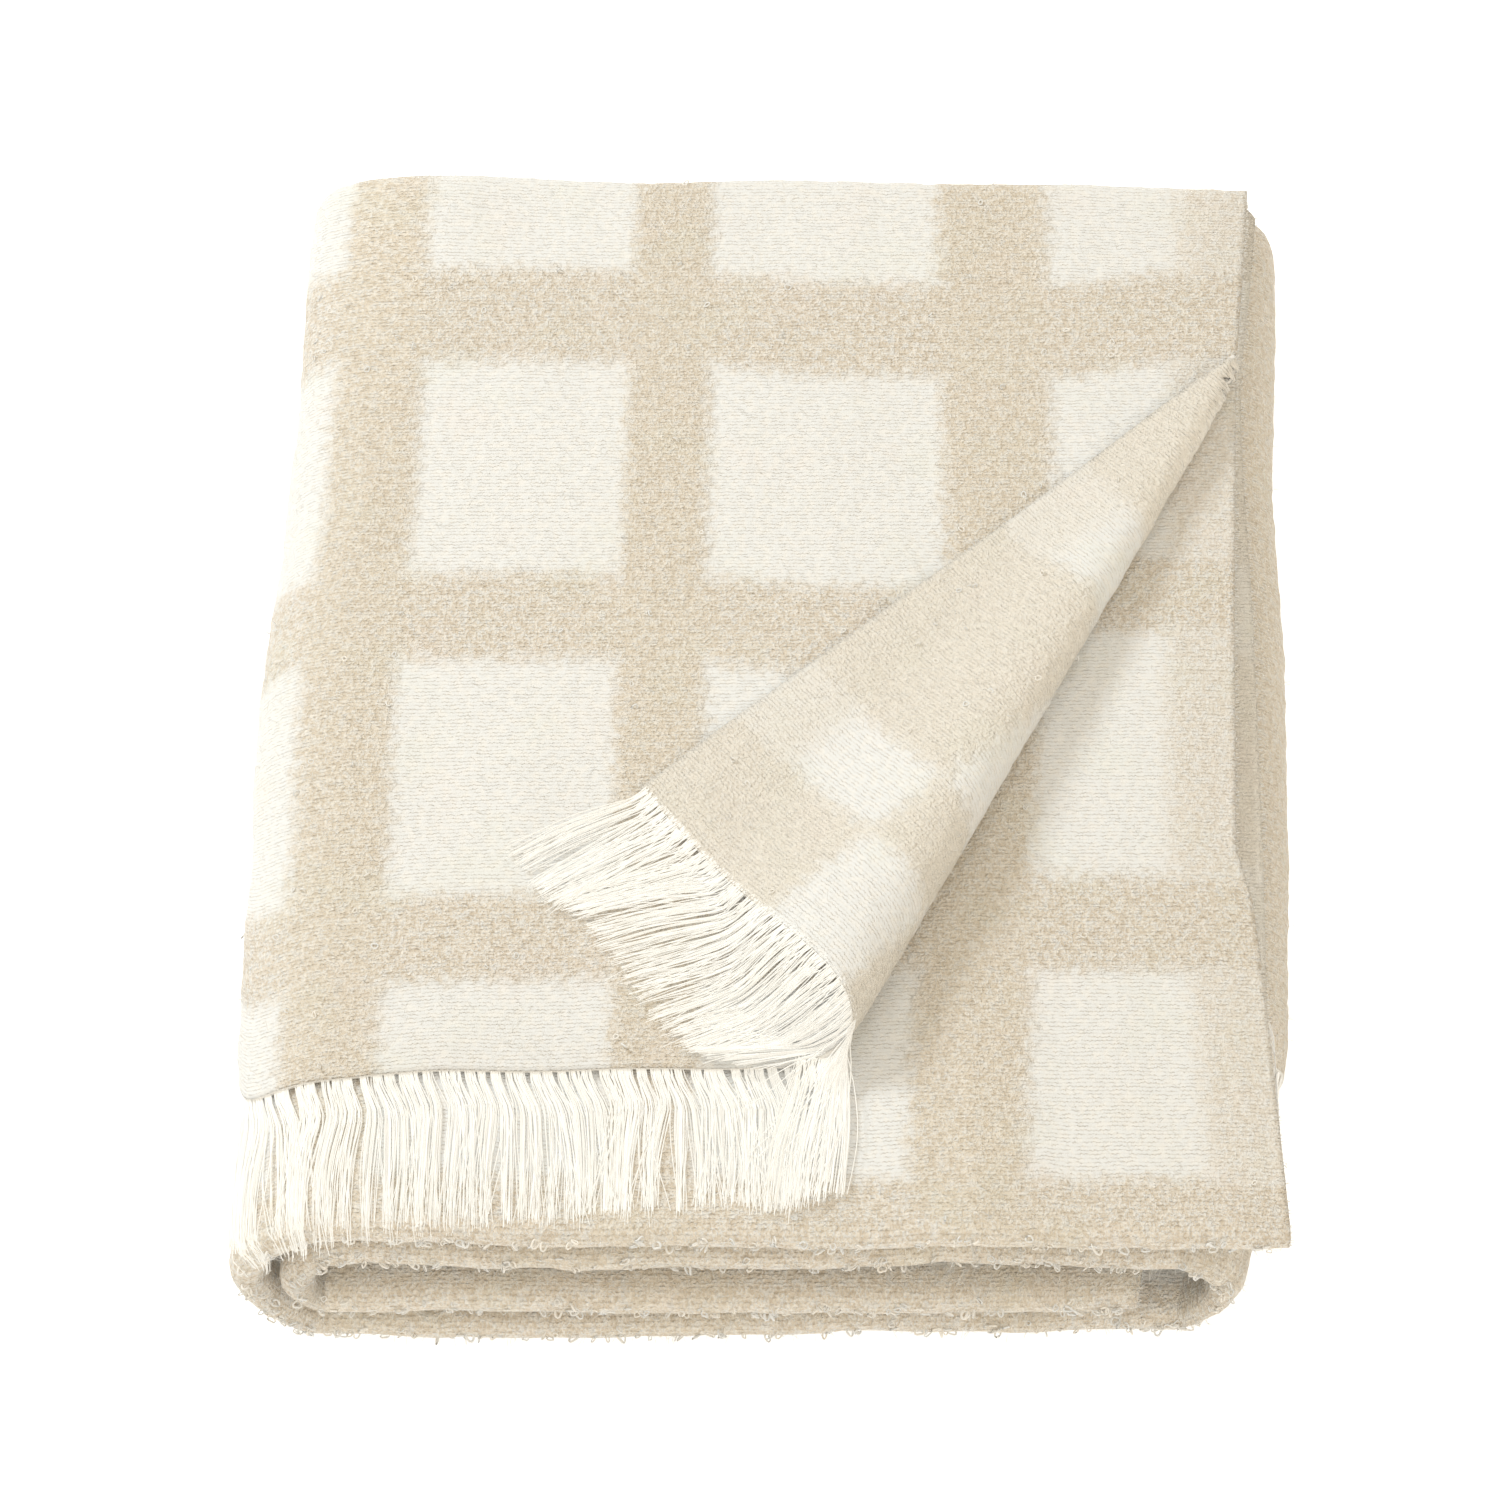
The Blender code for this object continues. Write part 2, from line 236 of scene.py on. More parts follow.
def run_of(a):
    """Which run of the spiral each width lies on: 0, 2, 4 and 6 are layers, 1, 3 and 5 folds."""
    return np.clip(np.searchsorted(RUNS, a, side="right") - 1, 0, 6)


def place(a, y, h):
    """A point at width a, depth y and height h in its layer, in the folded stack."""
    a, y, h = np.broadcast_arrays(*(np.asarray(item, float) for item in (a, y, h)))
    run = run_of(a)
    along = a - RUNS[run]
    x = np.empty_like(along)
    z = np.empty_like(along)
    flats = (
        (0, TOP_SELVEDGE, -1, UPPER_LOW[2], 1),
        (2, LEFT_FOLD_X, 1, LAYER, -1),
        (4, RIGHT_FOLD_X, -1, SECOND_LOW[2], 1),
        (6, LEFT_FOLD_X, 1, THIRD_HIGH[2], -1),
    )
    for index, start, way, floor, up in flats:
        here = run == index
        x[here] = start + way * along[here]
        z[here] = floor + up * h[here]
    folds = (
        (1, LEFT_FOLD_X, HEIGHT / 2, LEFT_INNER, LEFT_RADIUS, -1, 1),
        (3, RIGHT_FOLD_X, RIGHT_OUTER, RIGHT_INNER, RIGHT_RADIUS, 1, -1),
        (5, LEFT_FOLD_X, HEIGHT / 2, INNER_INNER, INNER_RADIUS, -1, 1),
    )
    for index, cx, cz, inner, reach, side, up in folds:
        here = run == index
        angle = along[here] / reach
        radius = inner + h[here]
        x[here] = cx + side * radius * np.sin(angle)
        z[here] = cz + up * radius * np.cos(angle)
    return wander(a, x, y, z)


def wander(a, x, y, z):
    """Moves points of the stack by how far the real one strays from a straight one."""
    lower = 1 - rise(z, SECOND_HIGH[2], PITCH)
    near_left = rise(x, *LEFT_ZONE)
    near_right = rise(x, *RIGHT_ZONE)
    left = np.interp(y, LEFT_WANDER_Y, LEFT_WANDER)
    right = np.interp(y, RIGHT_WANDER_Y, RIGHT_WANDER)
    moved_x = x + near_left * left + near_right * lower * right
    moved_x = moved_x + near_left * waves(y, 0, LEFT_WAVE)
    forward = rise(y, *FRONT_ZONE)
    lip = np.interp(np.interp(a, RUNS, np.arange(len(RUNS))), LIP_STATIONS, LIP_WANDER)
    lip = lip + waves(a, 0, *LIP_WAVES)
    moved_y = y + forward * lip
    backward = rise(y, *BACK_ZONE)
    moved_y = moved_y + backward * (waves(x, z, BACK_WAVE) + waves(x, 0, LONG_BACK_WAVE))
    shoulder = rise(x, *SHOULDER_X_ZONE) * rise(z / HEIGHT, *SHOULDER_HEIGHT_ZONE)
    shoulder = shoulder * rise(y, *SHOULDER_Y_ZONE)
    moved_x = moved_x - SHOULDER * shoulder
    raised = smooth((z - SECOND_LOW[2]) / (2 * PITCH) + 1)
    sag = np.interp(x, SAG_X, SAG) * rise(y, *SAG_ZONE)
    level = waves(x, y, *LEVEL_WAVES)
    share = np.clip(z / HEIGHT, 0, 1.1)
    hump = HUMP * np.exp(-(((x - HUMP_X) / HUMP_WIDTH) ** 2)) * backward * share
    moved_z = z + raised * sag + share * level + hump
    return np.stack([moved_x, moved_y, moved_z], axis=-1)


def corner_point(distance, share):
    """A point on the turned corner: share 0 is the turn's root and share 1 the selvedge."""
    along = np.array([-math.sin(TURN_ANGLE), -math.cos(TURN_ANGLE), 0.0])
    across = np.array([-math.cos(TURN_ANGLE), math.sin(TURN_ANGLE), 0.0])
    origin = np.array([TOP_SELVEDGE, TURN_START, HEIGHT - HALF])
    d = distance[..., None]
    radius = (ROLL_START_RADIUS + ROLL_SLOPE * distance)[..., None]
    share = share[..., None]
    up = np.array([0.0, 0.0, 1.0])
    angle = math.pi * np.clip(share / ROLL_SHARE, 0, 1)
    rolled = origin + along * d - across * radius * np.sin(angle) + up * radius * (1 - np.cos(angle))
    turn = FLAP_ANGLE * np.clip((share - ROLL_SHARE) / (1 - ROLL_SHARE), 0, 1)
    side = d * np.sin(turn)
    settle = smooth(side / (FLAP_DROP * 2 * radius))
    rest = PITCH + GAP
    height = np.maximum(rest + (2 * radius - rest) * (1 - settle), PITCH)
    flap = origin + along * d * np.cos(turn) + across * side + up * height
    return np.where(share < ROLL_SHARE, rolled, flap)


def in_corner(a, y):
    """How far round the turned corner a flat point of the top sheet is: below 0 it isn't turned."""
    angle = np.arctan2(a, TURN_START - y)
    return np.where(y < TURN_START, 1 - angle / TURN_ANGLE, -1.0)


def corner_share(a, t):
    """How far round the turned corner a point of the cloth is: below 0 it isn't turned."""
    return np.where(t < TOP_LENGTH, in_corner(a, FRINGE_LINE + t), -1.0)


def fringe_dip(a):
    """How far the outer end of the cloth runs on past the straight fringe line, or stops short of it."""
    past = a - RUNS[1]
    over = FRINGE_DIP * rise(a, *FRINGE_DIP_ZONE) * (1 - rise(past, *FRINGE_DIP_END))
    under = FRINGE_CLIMB * rise(past, *FRINGE_CLIMB_ZONE)
    return over + under + waves(a, 0, FRINGE_LINE_WAVE)


def cloth_point(a, t):
    """The middle of the cloth at width a and length t, in the folded stack."""
    a, t = np.broadcast_arrays(np.asarray(a, float), np.asarray(t, float))
    y = np.interp(t, SECTION_LENGTH, SECTION[:, 0])
    h = np.interp(t, SECTION_LENGTH, SECTION[:, 1])
    on_top = (a < RUNS[1]) & (t < TOP_LENGTH)
    share = np.where(on_top, in_corner(a, y), -1.0)
    turned = share > 0
    dip = fringe_dip(a) * (1 - smooth(t / FRINGE_DIP_FADE)) * (t < TOP_LENGTH)
    second = (a < RUNS[1]) & (t > LIP_START)
    edge = np.interp(y, SECOND_EDGE_Y, SECOND_EDGE) * (1 - smooth(a / SECOND_EDGE_FADE)) * second
    found = place(a, y + dip * ~turned, h)
    drawn_out = np.interp(y, TOP_EDGE_Y, TOP_EDGE) * (1 - smooth(a / TOP_EDGE_FADE)) * (a < RUNS[1])
    found[..., 0] += edge + drawn_out
    distance = np.hypot(a, TURN_START - y)
    rolled = corner_point(distance, np.clip(share, 0, 1))
    level = waves(rolled[..., 0], rolled[..., 1], LEVEL_WAVES[0])
    rolled[..., 2] += level + waves(a, t, ROLL_WAVE) * smooth(share / ROLL_SHARE_SETTLED)
    return np.where(turned[..., None], rolled, found)


def stations(*runs):
    """Places from 0 on, evenly spaced within each (end, spacing) run."""
    found = [0.0]
    for end, spacing in runs:
        start = found[-1]
        count = max(1, round((end - start) / spacing))
        found.extend(start + (end - start) * (k + 1) / count for k in range(count))
    return np.array(found)


# The lines of the cloth's mesh across its width and along its length, closest on the turned corner and the
# bends that the front shows.
CORNER_WIDTH = 0.17
CORNER_LENGTH = 0.27
ACROSS = stations(
    (CORNER_WIDTH, 0.002),
    (RUNS[1], 0.003),
    (RUNS[2], 0.003),
    (RUNS[3], 0.007),
    (RUNS[4], 0.004),
    (RUNS[5], 0.007),
    (RUNS[6], 0.004),
    (RUNS[7], 0.007),
)
ALONG = stations(
    (CORNER_LENGTH, 0.002),
    (TOP_LENGTH, 0.003),
    (UNDER_START, 0.0024),
    (LIP_START, 0.016),
    (LIP_END, 0.0016),
    (INNER_BEND_START, 0.004),
    (INNER_BEND_END, 0.0013),
    (LENGTH, 0.03),
)


def new_mesh(name, verts, quads, materials, slots=None, vectors=None):
    """A smooth mesh object from arrays of points and four-sided faces, with named vector attributes."""
    mesh = bpy.data.meshes.new(name)
    mesh.vertices.add(len(verts))
    mesh.vertices.foreach_set("co", np.asarray(verts, np.float32).ravel())
    mesh.loops.add(4 * len(quads))
    mesh.loops.foreach_set("vertex_index", np.asarray(quads, np.int32).ravel())
    mesh.polygons.add(len(quads))
    mesh.polygons.foreach_set("loop_start", np.arange(0, 4 * len(quads), 4, dtype=np.int32))
    mesh.polygons.foreach_set("use_smooth", np.ones(len(quads), bool))
    for material in materials:
        mesh.materials.append(material)
    if slots is not None:
        mesh.polygons.foreach_set("material_index", np.asarray(slots, np.int32))
    for key, values in (vectors or {}).items():
        layer = mesh.attributes.new(key, "FLOAT_VECTOR", "POINT")
        layer.data.foreach_set("vector", np.asarray(values, np.float32).ravel())
    mesh.update(calc_edges=True)
    mesh.validate()
    made = bpy.data.objects.new(name, mesh)
    bpy.context.scene.collection.objects.link(made)
    return made


def grid_quads(rows, columns):
    """The faces of a grid of points numbered row by row."""
    i, j = np.meshgrid(np.arange(rows - 1), np.arange(columns - 1), indexing="ij")
    first = (i * columns + j).ravel()
    return np.stack([first, first + 1, first + columns + 1, first + columns], axis=1)


def unit(vectors):
    """Vectors of length one."""
    return vectors / np.maximum(np.linalg.norm(vectors, axis=-1, keepdims=True), 1e-12)


A_GRID, T_GRID = np.meshgrid(ACROSS, ALONG, indexing="ij")
MIDDLE = cloth_point(A_GRID, T_GRID)


def face_normals(points):
    """The direction that the cloth's face looks in, at each point of the grid."""
    across = np.gradient(points, axis=0)
    along = np.gradient(points, axis=1)
    return unit(np.cross(along, across))


NORMAL = face_normals(MIDDLE)

# Where the check's bands start and end, across and along the cloth, and how far the weave is pulled askew.
BAND_SHARE = 0.28
BAND_PERIOD = 0.119
SPARE_PERIODS = 20
RIGHT_MIDDLE = (RUNS[3] + RUNS[4]) / 2
ACROSS_BANDS = ((0.0675, 0.1045), (0.188, 0.2165), (0.2915, 0.3225))
# one beige band laid over the whole right fold: partly the check's own band, partly painted shade on the
# fold
RIGHT_BANDS = ((RIGHT_MIDDLE - 0.006, RIGHT_MIDDLE + 0.034),)
ALONG_BANDS = ((0.0325, 0.0615), (0.150, 0.182), (0.2695, 0.3065))
SECOND_BANDS = ((0.744, 0.778), (0.850, 0.8826), (0.977, 1.005))
SKEW_Y = (-0.19, -0.155, -0.081, -0.025, 0.05)
SKEW = (0.017, 0.0155, 0.009, 0.004, 0.0)
SKEW_FADE = (0.12, 0.10)
FLAP_SKEW = 0.012
FLAP_SKEW_SHARE = 0.3
PULL = 0.006
PULL_START = (0.02, 0.04)
PULL_END = (0.215, -0.08)
BACK_SKEW_ZONE = (0.06, 0.13)
BACK_SKEW = 0.007
BACK_SKEW_START = (0.25, 0.04)
EDGE_SKEW = 0.017
EDGE_SKEW_START = (0.302, 0.02)
PAST_BEND = 0.02  # how far past the top sheet its looks run on round the back


def check_coordinate(values, bands, after=None, after_index=6):
    """Turns a distance into band periods: each band runs from a whole number to BAND_SHARE past it."""
    known = []
    marks = []
    for index, (start, end) in enumerate(bands):
        known += [start, end]
        marks += [index, index + BAND_SHARE]
    if after:
        for index, (start, end) in enumerate(after):
            known += [start, end]
            marks += [after_index + index, after_index + index + BAND_SHARE]
    known = [known[0] - BAND_PERIOD] + known + [known[-1] + SPARE_PERIODS * BAND_PERIOD]
    marks = [marks[0] - 1] + marks + [marks[-1] + SPARE_PERIODS]
    return np.interp(values, known, marks)


def check_of(a, t):
    """The two band coordinates at width a and length t, with the weave pulled askew as it really is."""
    depth = np.interp(t, SECTION_LENGTH, SECTION[:, 0])
    second = (t > LIP_END) * (1 - rise(a, *SKEW_FADE))
    skewed = a - np.interp(depth, SKEW_Y, SKEW) * second
    back = rise(depth, *BACK_SKEW_ZONE) * (a < RUNS[2]) * (t < TOP_LENGTH + PAST_BEND)
    skewed = skewed - BACK_SKEW * back * rise(a, *BACK_SKEW_START)
    skewed = skewed + EDGE_SKEW * back * rise(a, *EDGE_SKEW_START)
    on_top = t < TOP_LENGTH
    share = corner_share(a, t)
    pulled = PULL * rise(a, *PULL_END) * rise(a, *PULL_START) * on_top * (share < 0)
    along = t + pulled - FLAP_SKEW * smooth(share / FLAP_SKEW_SHARE)
    return (
        check_coordinate(skewed, ACROSS_BANDS, RIGHT_BANDS),
        check_coordinate(along, ALONG_BANDS, SECOND_BANDS),
    )


NAP_WAVES = ((0.00028, 0.004, 0.004), (0.0002, 0.009, 0.007))  # height, and length across and along
FACE_SEED = 21
REVERSE_SEED = 31
END_THIN = 0.42  # the loft's share at a cut end
END_TAPER = 0.012
SELVEDGE_THIN = 0.5  # the loft's share at a selvedge
SELVEDGE_TAPER = 0.014


def nap(a, t, seed):
    """The height of the yarn's relief."""
    return waves(a, t, *(shape + (seed + index,) for index, shape in enumerate(NAP_WAVES)))


def woven_blanket(face, reverse, rim):
    """The whole cloth, with its face, its reverse and its thin edges."""
    rows, columns = A_GRID.shape
    end = np.minimum(T_GRID, LENGTH - T_GRID)
    side = np.minimum(A_GRID, WIDTH - A_GRID)
    thin = END_THIN + (1 - END_THIN) * smooth(end / END_TAPER)
    thin = (thin * (SELVEDGE_THIN + (1 - SELVEDGE_THIN) * smooth(side / SELVEDGE_TAPER)))[..., None]
    top = MIDDLE + NORMAL * (HALF + nap(A_GRID, T_GRID, FACE_SEED)[..., None]) * thin
    under = MIDDLE - NORMAL * (HALF + nap(A_GRID, T_GRID, REVERSE_SEED)[..., None]) * thin
    count = rows * columns
    quads = grid_quads(rows, columns)
    number = np.arange(count).reshape(rows, columns)
    outline = np.concatenate([number[:, 0], number[-1, 1:], number[-2::-1, -1], number[0, -2:0:-1]])
    following = np.roll(outline, -1)
    rims = np.stack([outline, following, following + count, outline + count], axis=1)
    faces = np.concatenate([quads, quads[:, ::-1] + count, rims])
    slots = np.repeat([0, 1, 2], [len(quads), len(quads), len(rims)])
    flat = np.stack([A_GRID, T_GRID, np.zeros_like(A_GRID)], axis=-1).reshape(-1, 3)
    check_a, check_t = check_of(A_GRID, T_GRID)
    check = np.stack([check_a, check_t, np.zeros_like(check_a)], axis=-1).reshape(-1, 3)
    verts = np.concatenate([top.reshape(-1, 3), under.reshape(-1, 3)])
    verts[:, 2] = np.maximum(verts[:, 2], 0.0)
    vectors = {"flat": np.tile(flat, (2, 1)), "check": np.tile(check, (2, 1))}
    return new_mesh("woven_blanket", verts, faces, (face, reverse, rim), slots, vectors)


def surface(a, t, side=1.0):
    """Points just on the cloth's face (side 1) or reverse (side -1), and the directions they look in."""
    i = np.clip(np.searchsorted(ACROSS, a) - 1, 0, len(ACROSS) - 2)
    j = np.clip(np.searchsorted(ALONG, t) - 1, 0, len(ALONG) - 2)
    u = ((a - ACROSS[i]) / (ACROSS[i + 1] - ACROSS[i]))[:, None]
    v = ((t - ALONG[j]) / (ALONG[j + 1] - ALONG[j]))[:, None]
    found = []
    for table in (MIDDLE, NORMAL):
        low = table[i, j] * (1 - u) + table[i + 1, j] * u
        high = table[i, j + 1] * (1 - u) + table[i + 1, j + 1] * u
        found.append(low * (1 - v) + high * v)
    normal = unit(found[1]) * side
    return found[0] + normal * HALF, normal


def tubes(name, paths, radii, sides, materials, tone=None):
    """Thin yarns along paths (count, points, 3), with a radius for each point, joined in one mesh."""
    count, steps, _ = paths.shape
    tangent = unit(np.gradient(paths, axis=1))
    helper = np.where(np.abs(tangent[..., 2:]) > 0.8, [[[1.0, 0.0, 0.0]]], [[[0.0, 0.0, 1.0]]])
    first = unit(np.cross(tangent, helper))
    second = np.cross(tangent, first)
    angles = 2 * math.pi * np.arange(sides) / sides
    ring = first[..., None, :] * np.cos(angles)[:, None]
    ring = ring + second[..., None, :] * np.sin(angles)[:, None]
    radii = np.broadcast_to(radii, (count, steps))
    verts = paths[:, :, None, :] + ring * radii[..., None, None]
    verts[..., 2] = np.maximum(verts[..., 2], 0.0)
    k, j, i = np.meshgrid(np.arange(count), np.arange(steps - 1), np.arange(sides), indexing="ij")
    following = (i + 1) % sides
    low = (k * steps + j) * sides
    high = low + sides
    quads = np.stack([low + i, low + following, high + following, high + i], axis=-1).reshape(-1, 4)
    tone = np.zeros(count) if tone is None else tone
    shade = np.repeat(tone, steps * sides)
    along = np.tile(np.repeat(np.linspace(0, 1, steps), sides), count)
    vectors = {"yarn": np.stack([shade, along, np.zeros_like(along)], axis=-1)}
    return new_mesh(name, verts.reshape(-1, 3), quads, materials, None, vectors)


# The fringe, in metres: its bundles and strands, and how they stray sideways and up on their way.
STRAND_STEPS = 14
FILAMENT = 0.00019  # a strand's radius
BUNDLE_PITCH = 0.0042
BUNDLE_JITTER = 0.0009
BUNDLE_SPREAD = 0.46  # half a bundle's width at its tip, as a share of the spacing
CORNER_SPREAD = 0.5
FRINGE_LENGTH = 0.0515
CORNER_FRINGE = 0.050
SHORT_FRINGE = 0.885  # the strands' length by the turned corner, as a share of FRINGE_LENGTH
LONG_FRINGE = 0.135  # what it gains towards the left
LONGER_ZONE = (0.17, 0.13)
LENGTH_SCATTER = 0.035
LENGTH_WAVE = 0.03
ROOT_SPREAD = 0.80  # a bundle's width at its root, as a share of its width at the tip
ROOT_REACH = 0.018
GATHER = 0.45  # how much narrower some bundles are at the tip
DRIFT = 0.0052
DRIFT_REACH = 0.035
SWAY = 0.0026
SWAY_ZONE = (0.006, 0.03)
BEND = 0.0010
STRAY_STRANDS = 0.09  # share of the strands that leave their bundle
STRAY = 0.011
LIFT = 0.0016
LEAN = 0.0048  # how far the strands lean to one side
LEAN_REACH = 0.015
BEHIND_LINE = 0.0012  # the strands leave the weave this far behind its end
FALL_REACH = 0.007
HIDDEN_SPACING = 0.0075
UNSEEN_SPACING = 0.0062
SEEN_STRANDS = 20
UNSEEN_STRANDS = 6
HIDDEN_STRANDS = 5
TIP_TAPER = 0.35
TONE_SCATTER = 0.5
SELVEDGE_MARGIN = 0.003
ROOT_A = (TURN_START - FRINGE_LINE) * math.tan(TURN_ANGLE)

# The turned corner's strands.
CORNER_FLOW = math.radians(73.0)  # their direction, from the front towards the left
FLOW_WAVE = 0.16
FLOW_TURN = 0.14
FLOW_TURN_WIDTH = 0.04
FLOW_SCATTER = 0.10
SCATTERED = 0.25
ROLL_TURN = 0.15
ROLL_TURN_ZONE = (0.2, 0.35)
FORWARD_FLOW = 0.12  # the direction of the strands on the roll's lower half
SIDEWARD_ZONE = (0.15, 0.08)
SWING_REACH = 0.011
SIDE_REACH = 0.01
HELD_BACK = 0.8  # how much of a strand's way over the fringe line is taken back
HELD_MARGIN = 0.005
HELD_SHARE = 0.9
CORNER_REST = 0.0009
CORNER_FLOOR = 0.0006
CORNER_SLOPE = 0.01
CORNER_DROP = 0.010
ROOT_SHARE = 0.01


def strand_group(roots, filaments, spread, length):
    """How each filament of each bundle strays: sideways and up at each step, and how far along it is."""
    count = len(roots) * filaments
    bundle = np.repeat(np.arange(len(roots)), filaments)
    along = np.linspace(0, 1, STRAND_STEPS)[None, :]
    length = np.broadcast_to(length, len(roots))[bundle]
    scatter = LENGTH_SCATTER * rng.standard_normal(count) + LENGTH_WAVE * noise(bundle / 3.0, 0, 41)
    reach = (length * (1 + scatter))[:, None] * along
    own = rng.uniform(-1, 1, count)[:, None]
    clump = spread * (ROOT_SPREAD + (1 - ROOT_SPREAD) * smooth(reach / ROOT_REACH))
    clump = clump * (1 - GATHER * noise(bundle / 2.0, 0, 43)[:, None] * along)
    drift = DRIFT * noise(bundle / 2.6, 0, 42)[:, None] * smooth(reach / DRIFT_REACH)
    drift = drift + SWAY * noise(bundle * 1.7 + 0.5, 0, 44)[:, None] * rise(reach, *SWAY_ZONE)
    bend = BEND * rng.standard_normal(count)[:, None]
    bend = bend * np.sin(math.pi * along * rng.uniform(0.7, 1.5, count)[:, None])
    strays = (rng.random(count) < STRAY_STRANDS)[:, None]
    stray = strays * rng.uniform(-STRAY, STRAY, count)[:, None] * along**1.5
    sideways = own * clump + drift + bend + stray
    arch = np.sin(math.pi * np.clip(along * 1.02, 0, 1)) ** 0.6
    lift = rng.uniform(0.0, 1.0, count)[:, None] * LIFT * arch + np.abs(stray) * 0.05
    return bundle, reach, sideways, lift


def jittered(start, end):
    """Where bundles leave the cloth's end: a bundle's spacing apart, give or take a little."""
    even = np.arange(start, end, BUNDLE_PITCH)
    return even + rng.uniform(-BUNDLE_JITTER, BUNDLE_JITTER, len(even))


def layer_strands(roots, filaments, height, line, length, dip):
    """Strands that lie in the stack, in the direction of the front, from bundles at these widths."""
    bundle, reach, sideways, lift = strand_group(roots, filaments, BUNDLE_PITCH * BUNDLE_SPREAD, length)
    a = roots[bundle][:, None] - sideways - LEAN * smooth(reach / LEAN_REACH)
    a = np.clip(a, 0.0003, WIDTH - 0.0003)
    y = line + BEHIND_LINE - reach + (fringe_dip(roots)[bundle][:, None] if dip else 0.0)
    fall = (HALF + GAP - FILAMENT * 1.4) * smooth(reach / FALL_REACH)
    bend = PITCH + HALF
    over = np.clip(FRONT_BEND - y, 0, bend)
    curve = bend - np.sqrt(bend**2 - over**2)
    h = height - fall + lift - curve * (height > 2.5 * PITCH)
    points = place(a, y, h)
    tone = np.repeat(rng.uniform(-1, 1, len(roots)), filaments)
    return points, tone + rng.normal(0, TONE_SCATTER, len(bundle))


def corner_strands(filaments):
    """Strands of the turned corner, which fall from its edge onto the top sheet."""
    roots = jittered(SELVEDGE_MARGIN, ROOT_A - 0.002)
    spread = BUNDLE_PITCH * CORNER_SPREAD
    bundle, reach, sideways, lift = strand_group(roots, filaments, spread, CORNER_FRINGE)
    count = len(bundle)
    wide = np.clip(roots[bundle] + spread * rng.uniform(-1, 1, count), 0.0005, ROOT_A)
    edge, _ = surface(wide, rng.uniform(0.0004, 0.0022, count), -0.45)
    back = cloth_point(wide, np.full_like(wide, 0.006))
    leaving = unit(cloth_point(wide, np.zeros_like(wide)) - back)
    share = in_corner(wide, np.full_like(wide, FRINGE_LINE))
    angle = CORNER_FLOW + FLOW_WAVE * noise(bundle / 4.0, 0, 51)
    angle = angle - FLOW_TURN * rise(roots[bundle], FLOW_TURN_WIDTH, -FLOW_TURN_WIDTH)
    angle = angle + FLOW_SCATTER * rng.standard_normal(count) * (rng.random(count) < SCATTERED)
    angle = angle + ROLL_TURN * (1 - rise(share, *ROLL_TURN_ZONE))
    sideward = rise(share, *SIDEWARD_ZONE)
    angle = angle * sideward + FORWARD_FLOW * (1 - sideward)
    flow = np.stack([-np.sin(angle), -np.cos(angle), np.zeros_like(angle)], axis=-1)
    side = np.stack([np.cos(angle), -np.sin(angle), np.zeros_like(angle)], axis=-1)
    swing = smooth(reach / SWING_REACH)[..., None]
    heading = leaving[:, None, :] * (1 - swing) + flow[:, None, :] * swing
    steps = np.diff(reach, axis=1, prepend=0.0)[..., None] * unit(heading)
    points = edge[:, None, :] + np.cumsum(steps, axis=1)
    points = points + side[:, None, :] * (sideways * smooth(reach / SIDE_REACH))[..., None]
    held = (sideward > 0.5) & (rng.random(count) > 1 - HELD_SHARE)
    over = np.maximum(FRINGE_LINE + HELD_MARGIN - points[..., 1], 0.0) * held[:, None]
    points[..., 1] += HELD_BACK * over
    ground = HEIGHT - PITCH * smooth((FRINGE_LINE - points[..., 1]) / CORNER_SLOPE)
    start = edge[:, None, 2]
    drop = smooth(reach / np.maximum(CORNER_DROP, 1.2 * (start - HEIGHT)))
    lying = start * (1 - drop) + (ground + CORNER_REST + lift) * drop
    points[..., 2] = np.maximum(lying, ground + CORNER_FLOOR)
    keep = share > ROOT_SHARE
    tone = np.repeat(rng.uniform(-1, 1, len(roots)), filaments)
    return points[keep], tone[keep]


def outer_fringe(material):
    """The strands on the cloth's outer end."""
    seen = jittered(ROOT_A + 0.001, RUNS[2] + 0.03)
    unseen = np.arange(RUNS[2] + 0.034, WIDTH - SELVEDGE_MARGIN, UNSEEN_SPACING)
    height = 3 * PITCH + HALF
    longer = FRINGE_LENGTH * (SHORT_FRINGE + LONG_FRINGE * rise(seen, *LONGER_ZONE))
    front, front_tone = layer_strands(seen, SEEN_STRANDS, height, FRINGE_LINE, longer, True)
    rest, rest_tone = layer_strands(unseen, UNSEEN_STRANDS, height, FRINGE_LINE, FRINGE_LENGTH, True)
    corner, corner_tone = corner_strands(SEEN_STRANDS)
    paths = np.concatenate([front, rest, corner])
    tone = np.concatenate([front_tone, rest_tone, corner_tone])
    taper = FILAMENT * (1 - TIP_TAPER * np.linspace(0, 1, STRAND_STEPS) ** 3)
    return tubes("outer_fringe", paths, taper, 4, (material,), tone)


def hidden_fringe(material):
    """The strands on the cloth's inner end, which lie between its sheets."""
    roots = np.arange(SELVEDGE_MARGIN, WIDTH - SELVEDGE_MARGIN, HIDDEN_SPACING)
    length = HIDDEN_LINE - FRONT_BEND
    paths, tone = layer_strands(roots, HIDDEN_STRANDS, PITCH + HALF, HIDDEN_LINE, length, False)
    return tubes("hidden_fringe", paths, FILAMENT, 3, (material,), tone)


CORD_RADIUS = 0.0004
CORD_SPACING = 0.0011
CORD_BACK = 0.0009  # the cord lies this far behind the cloth's end


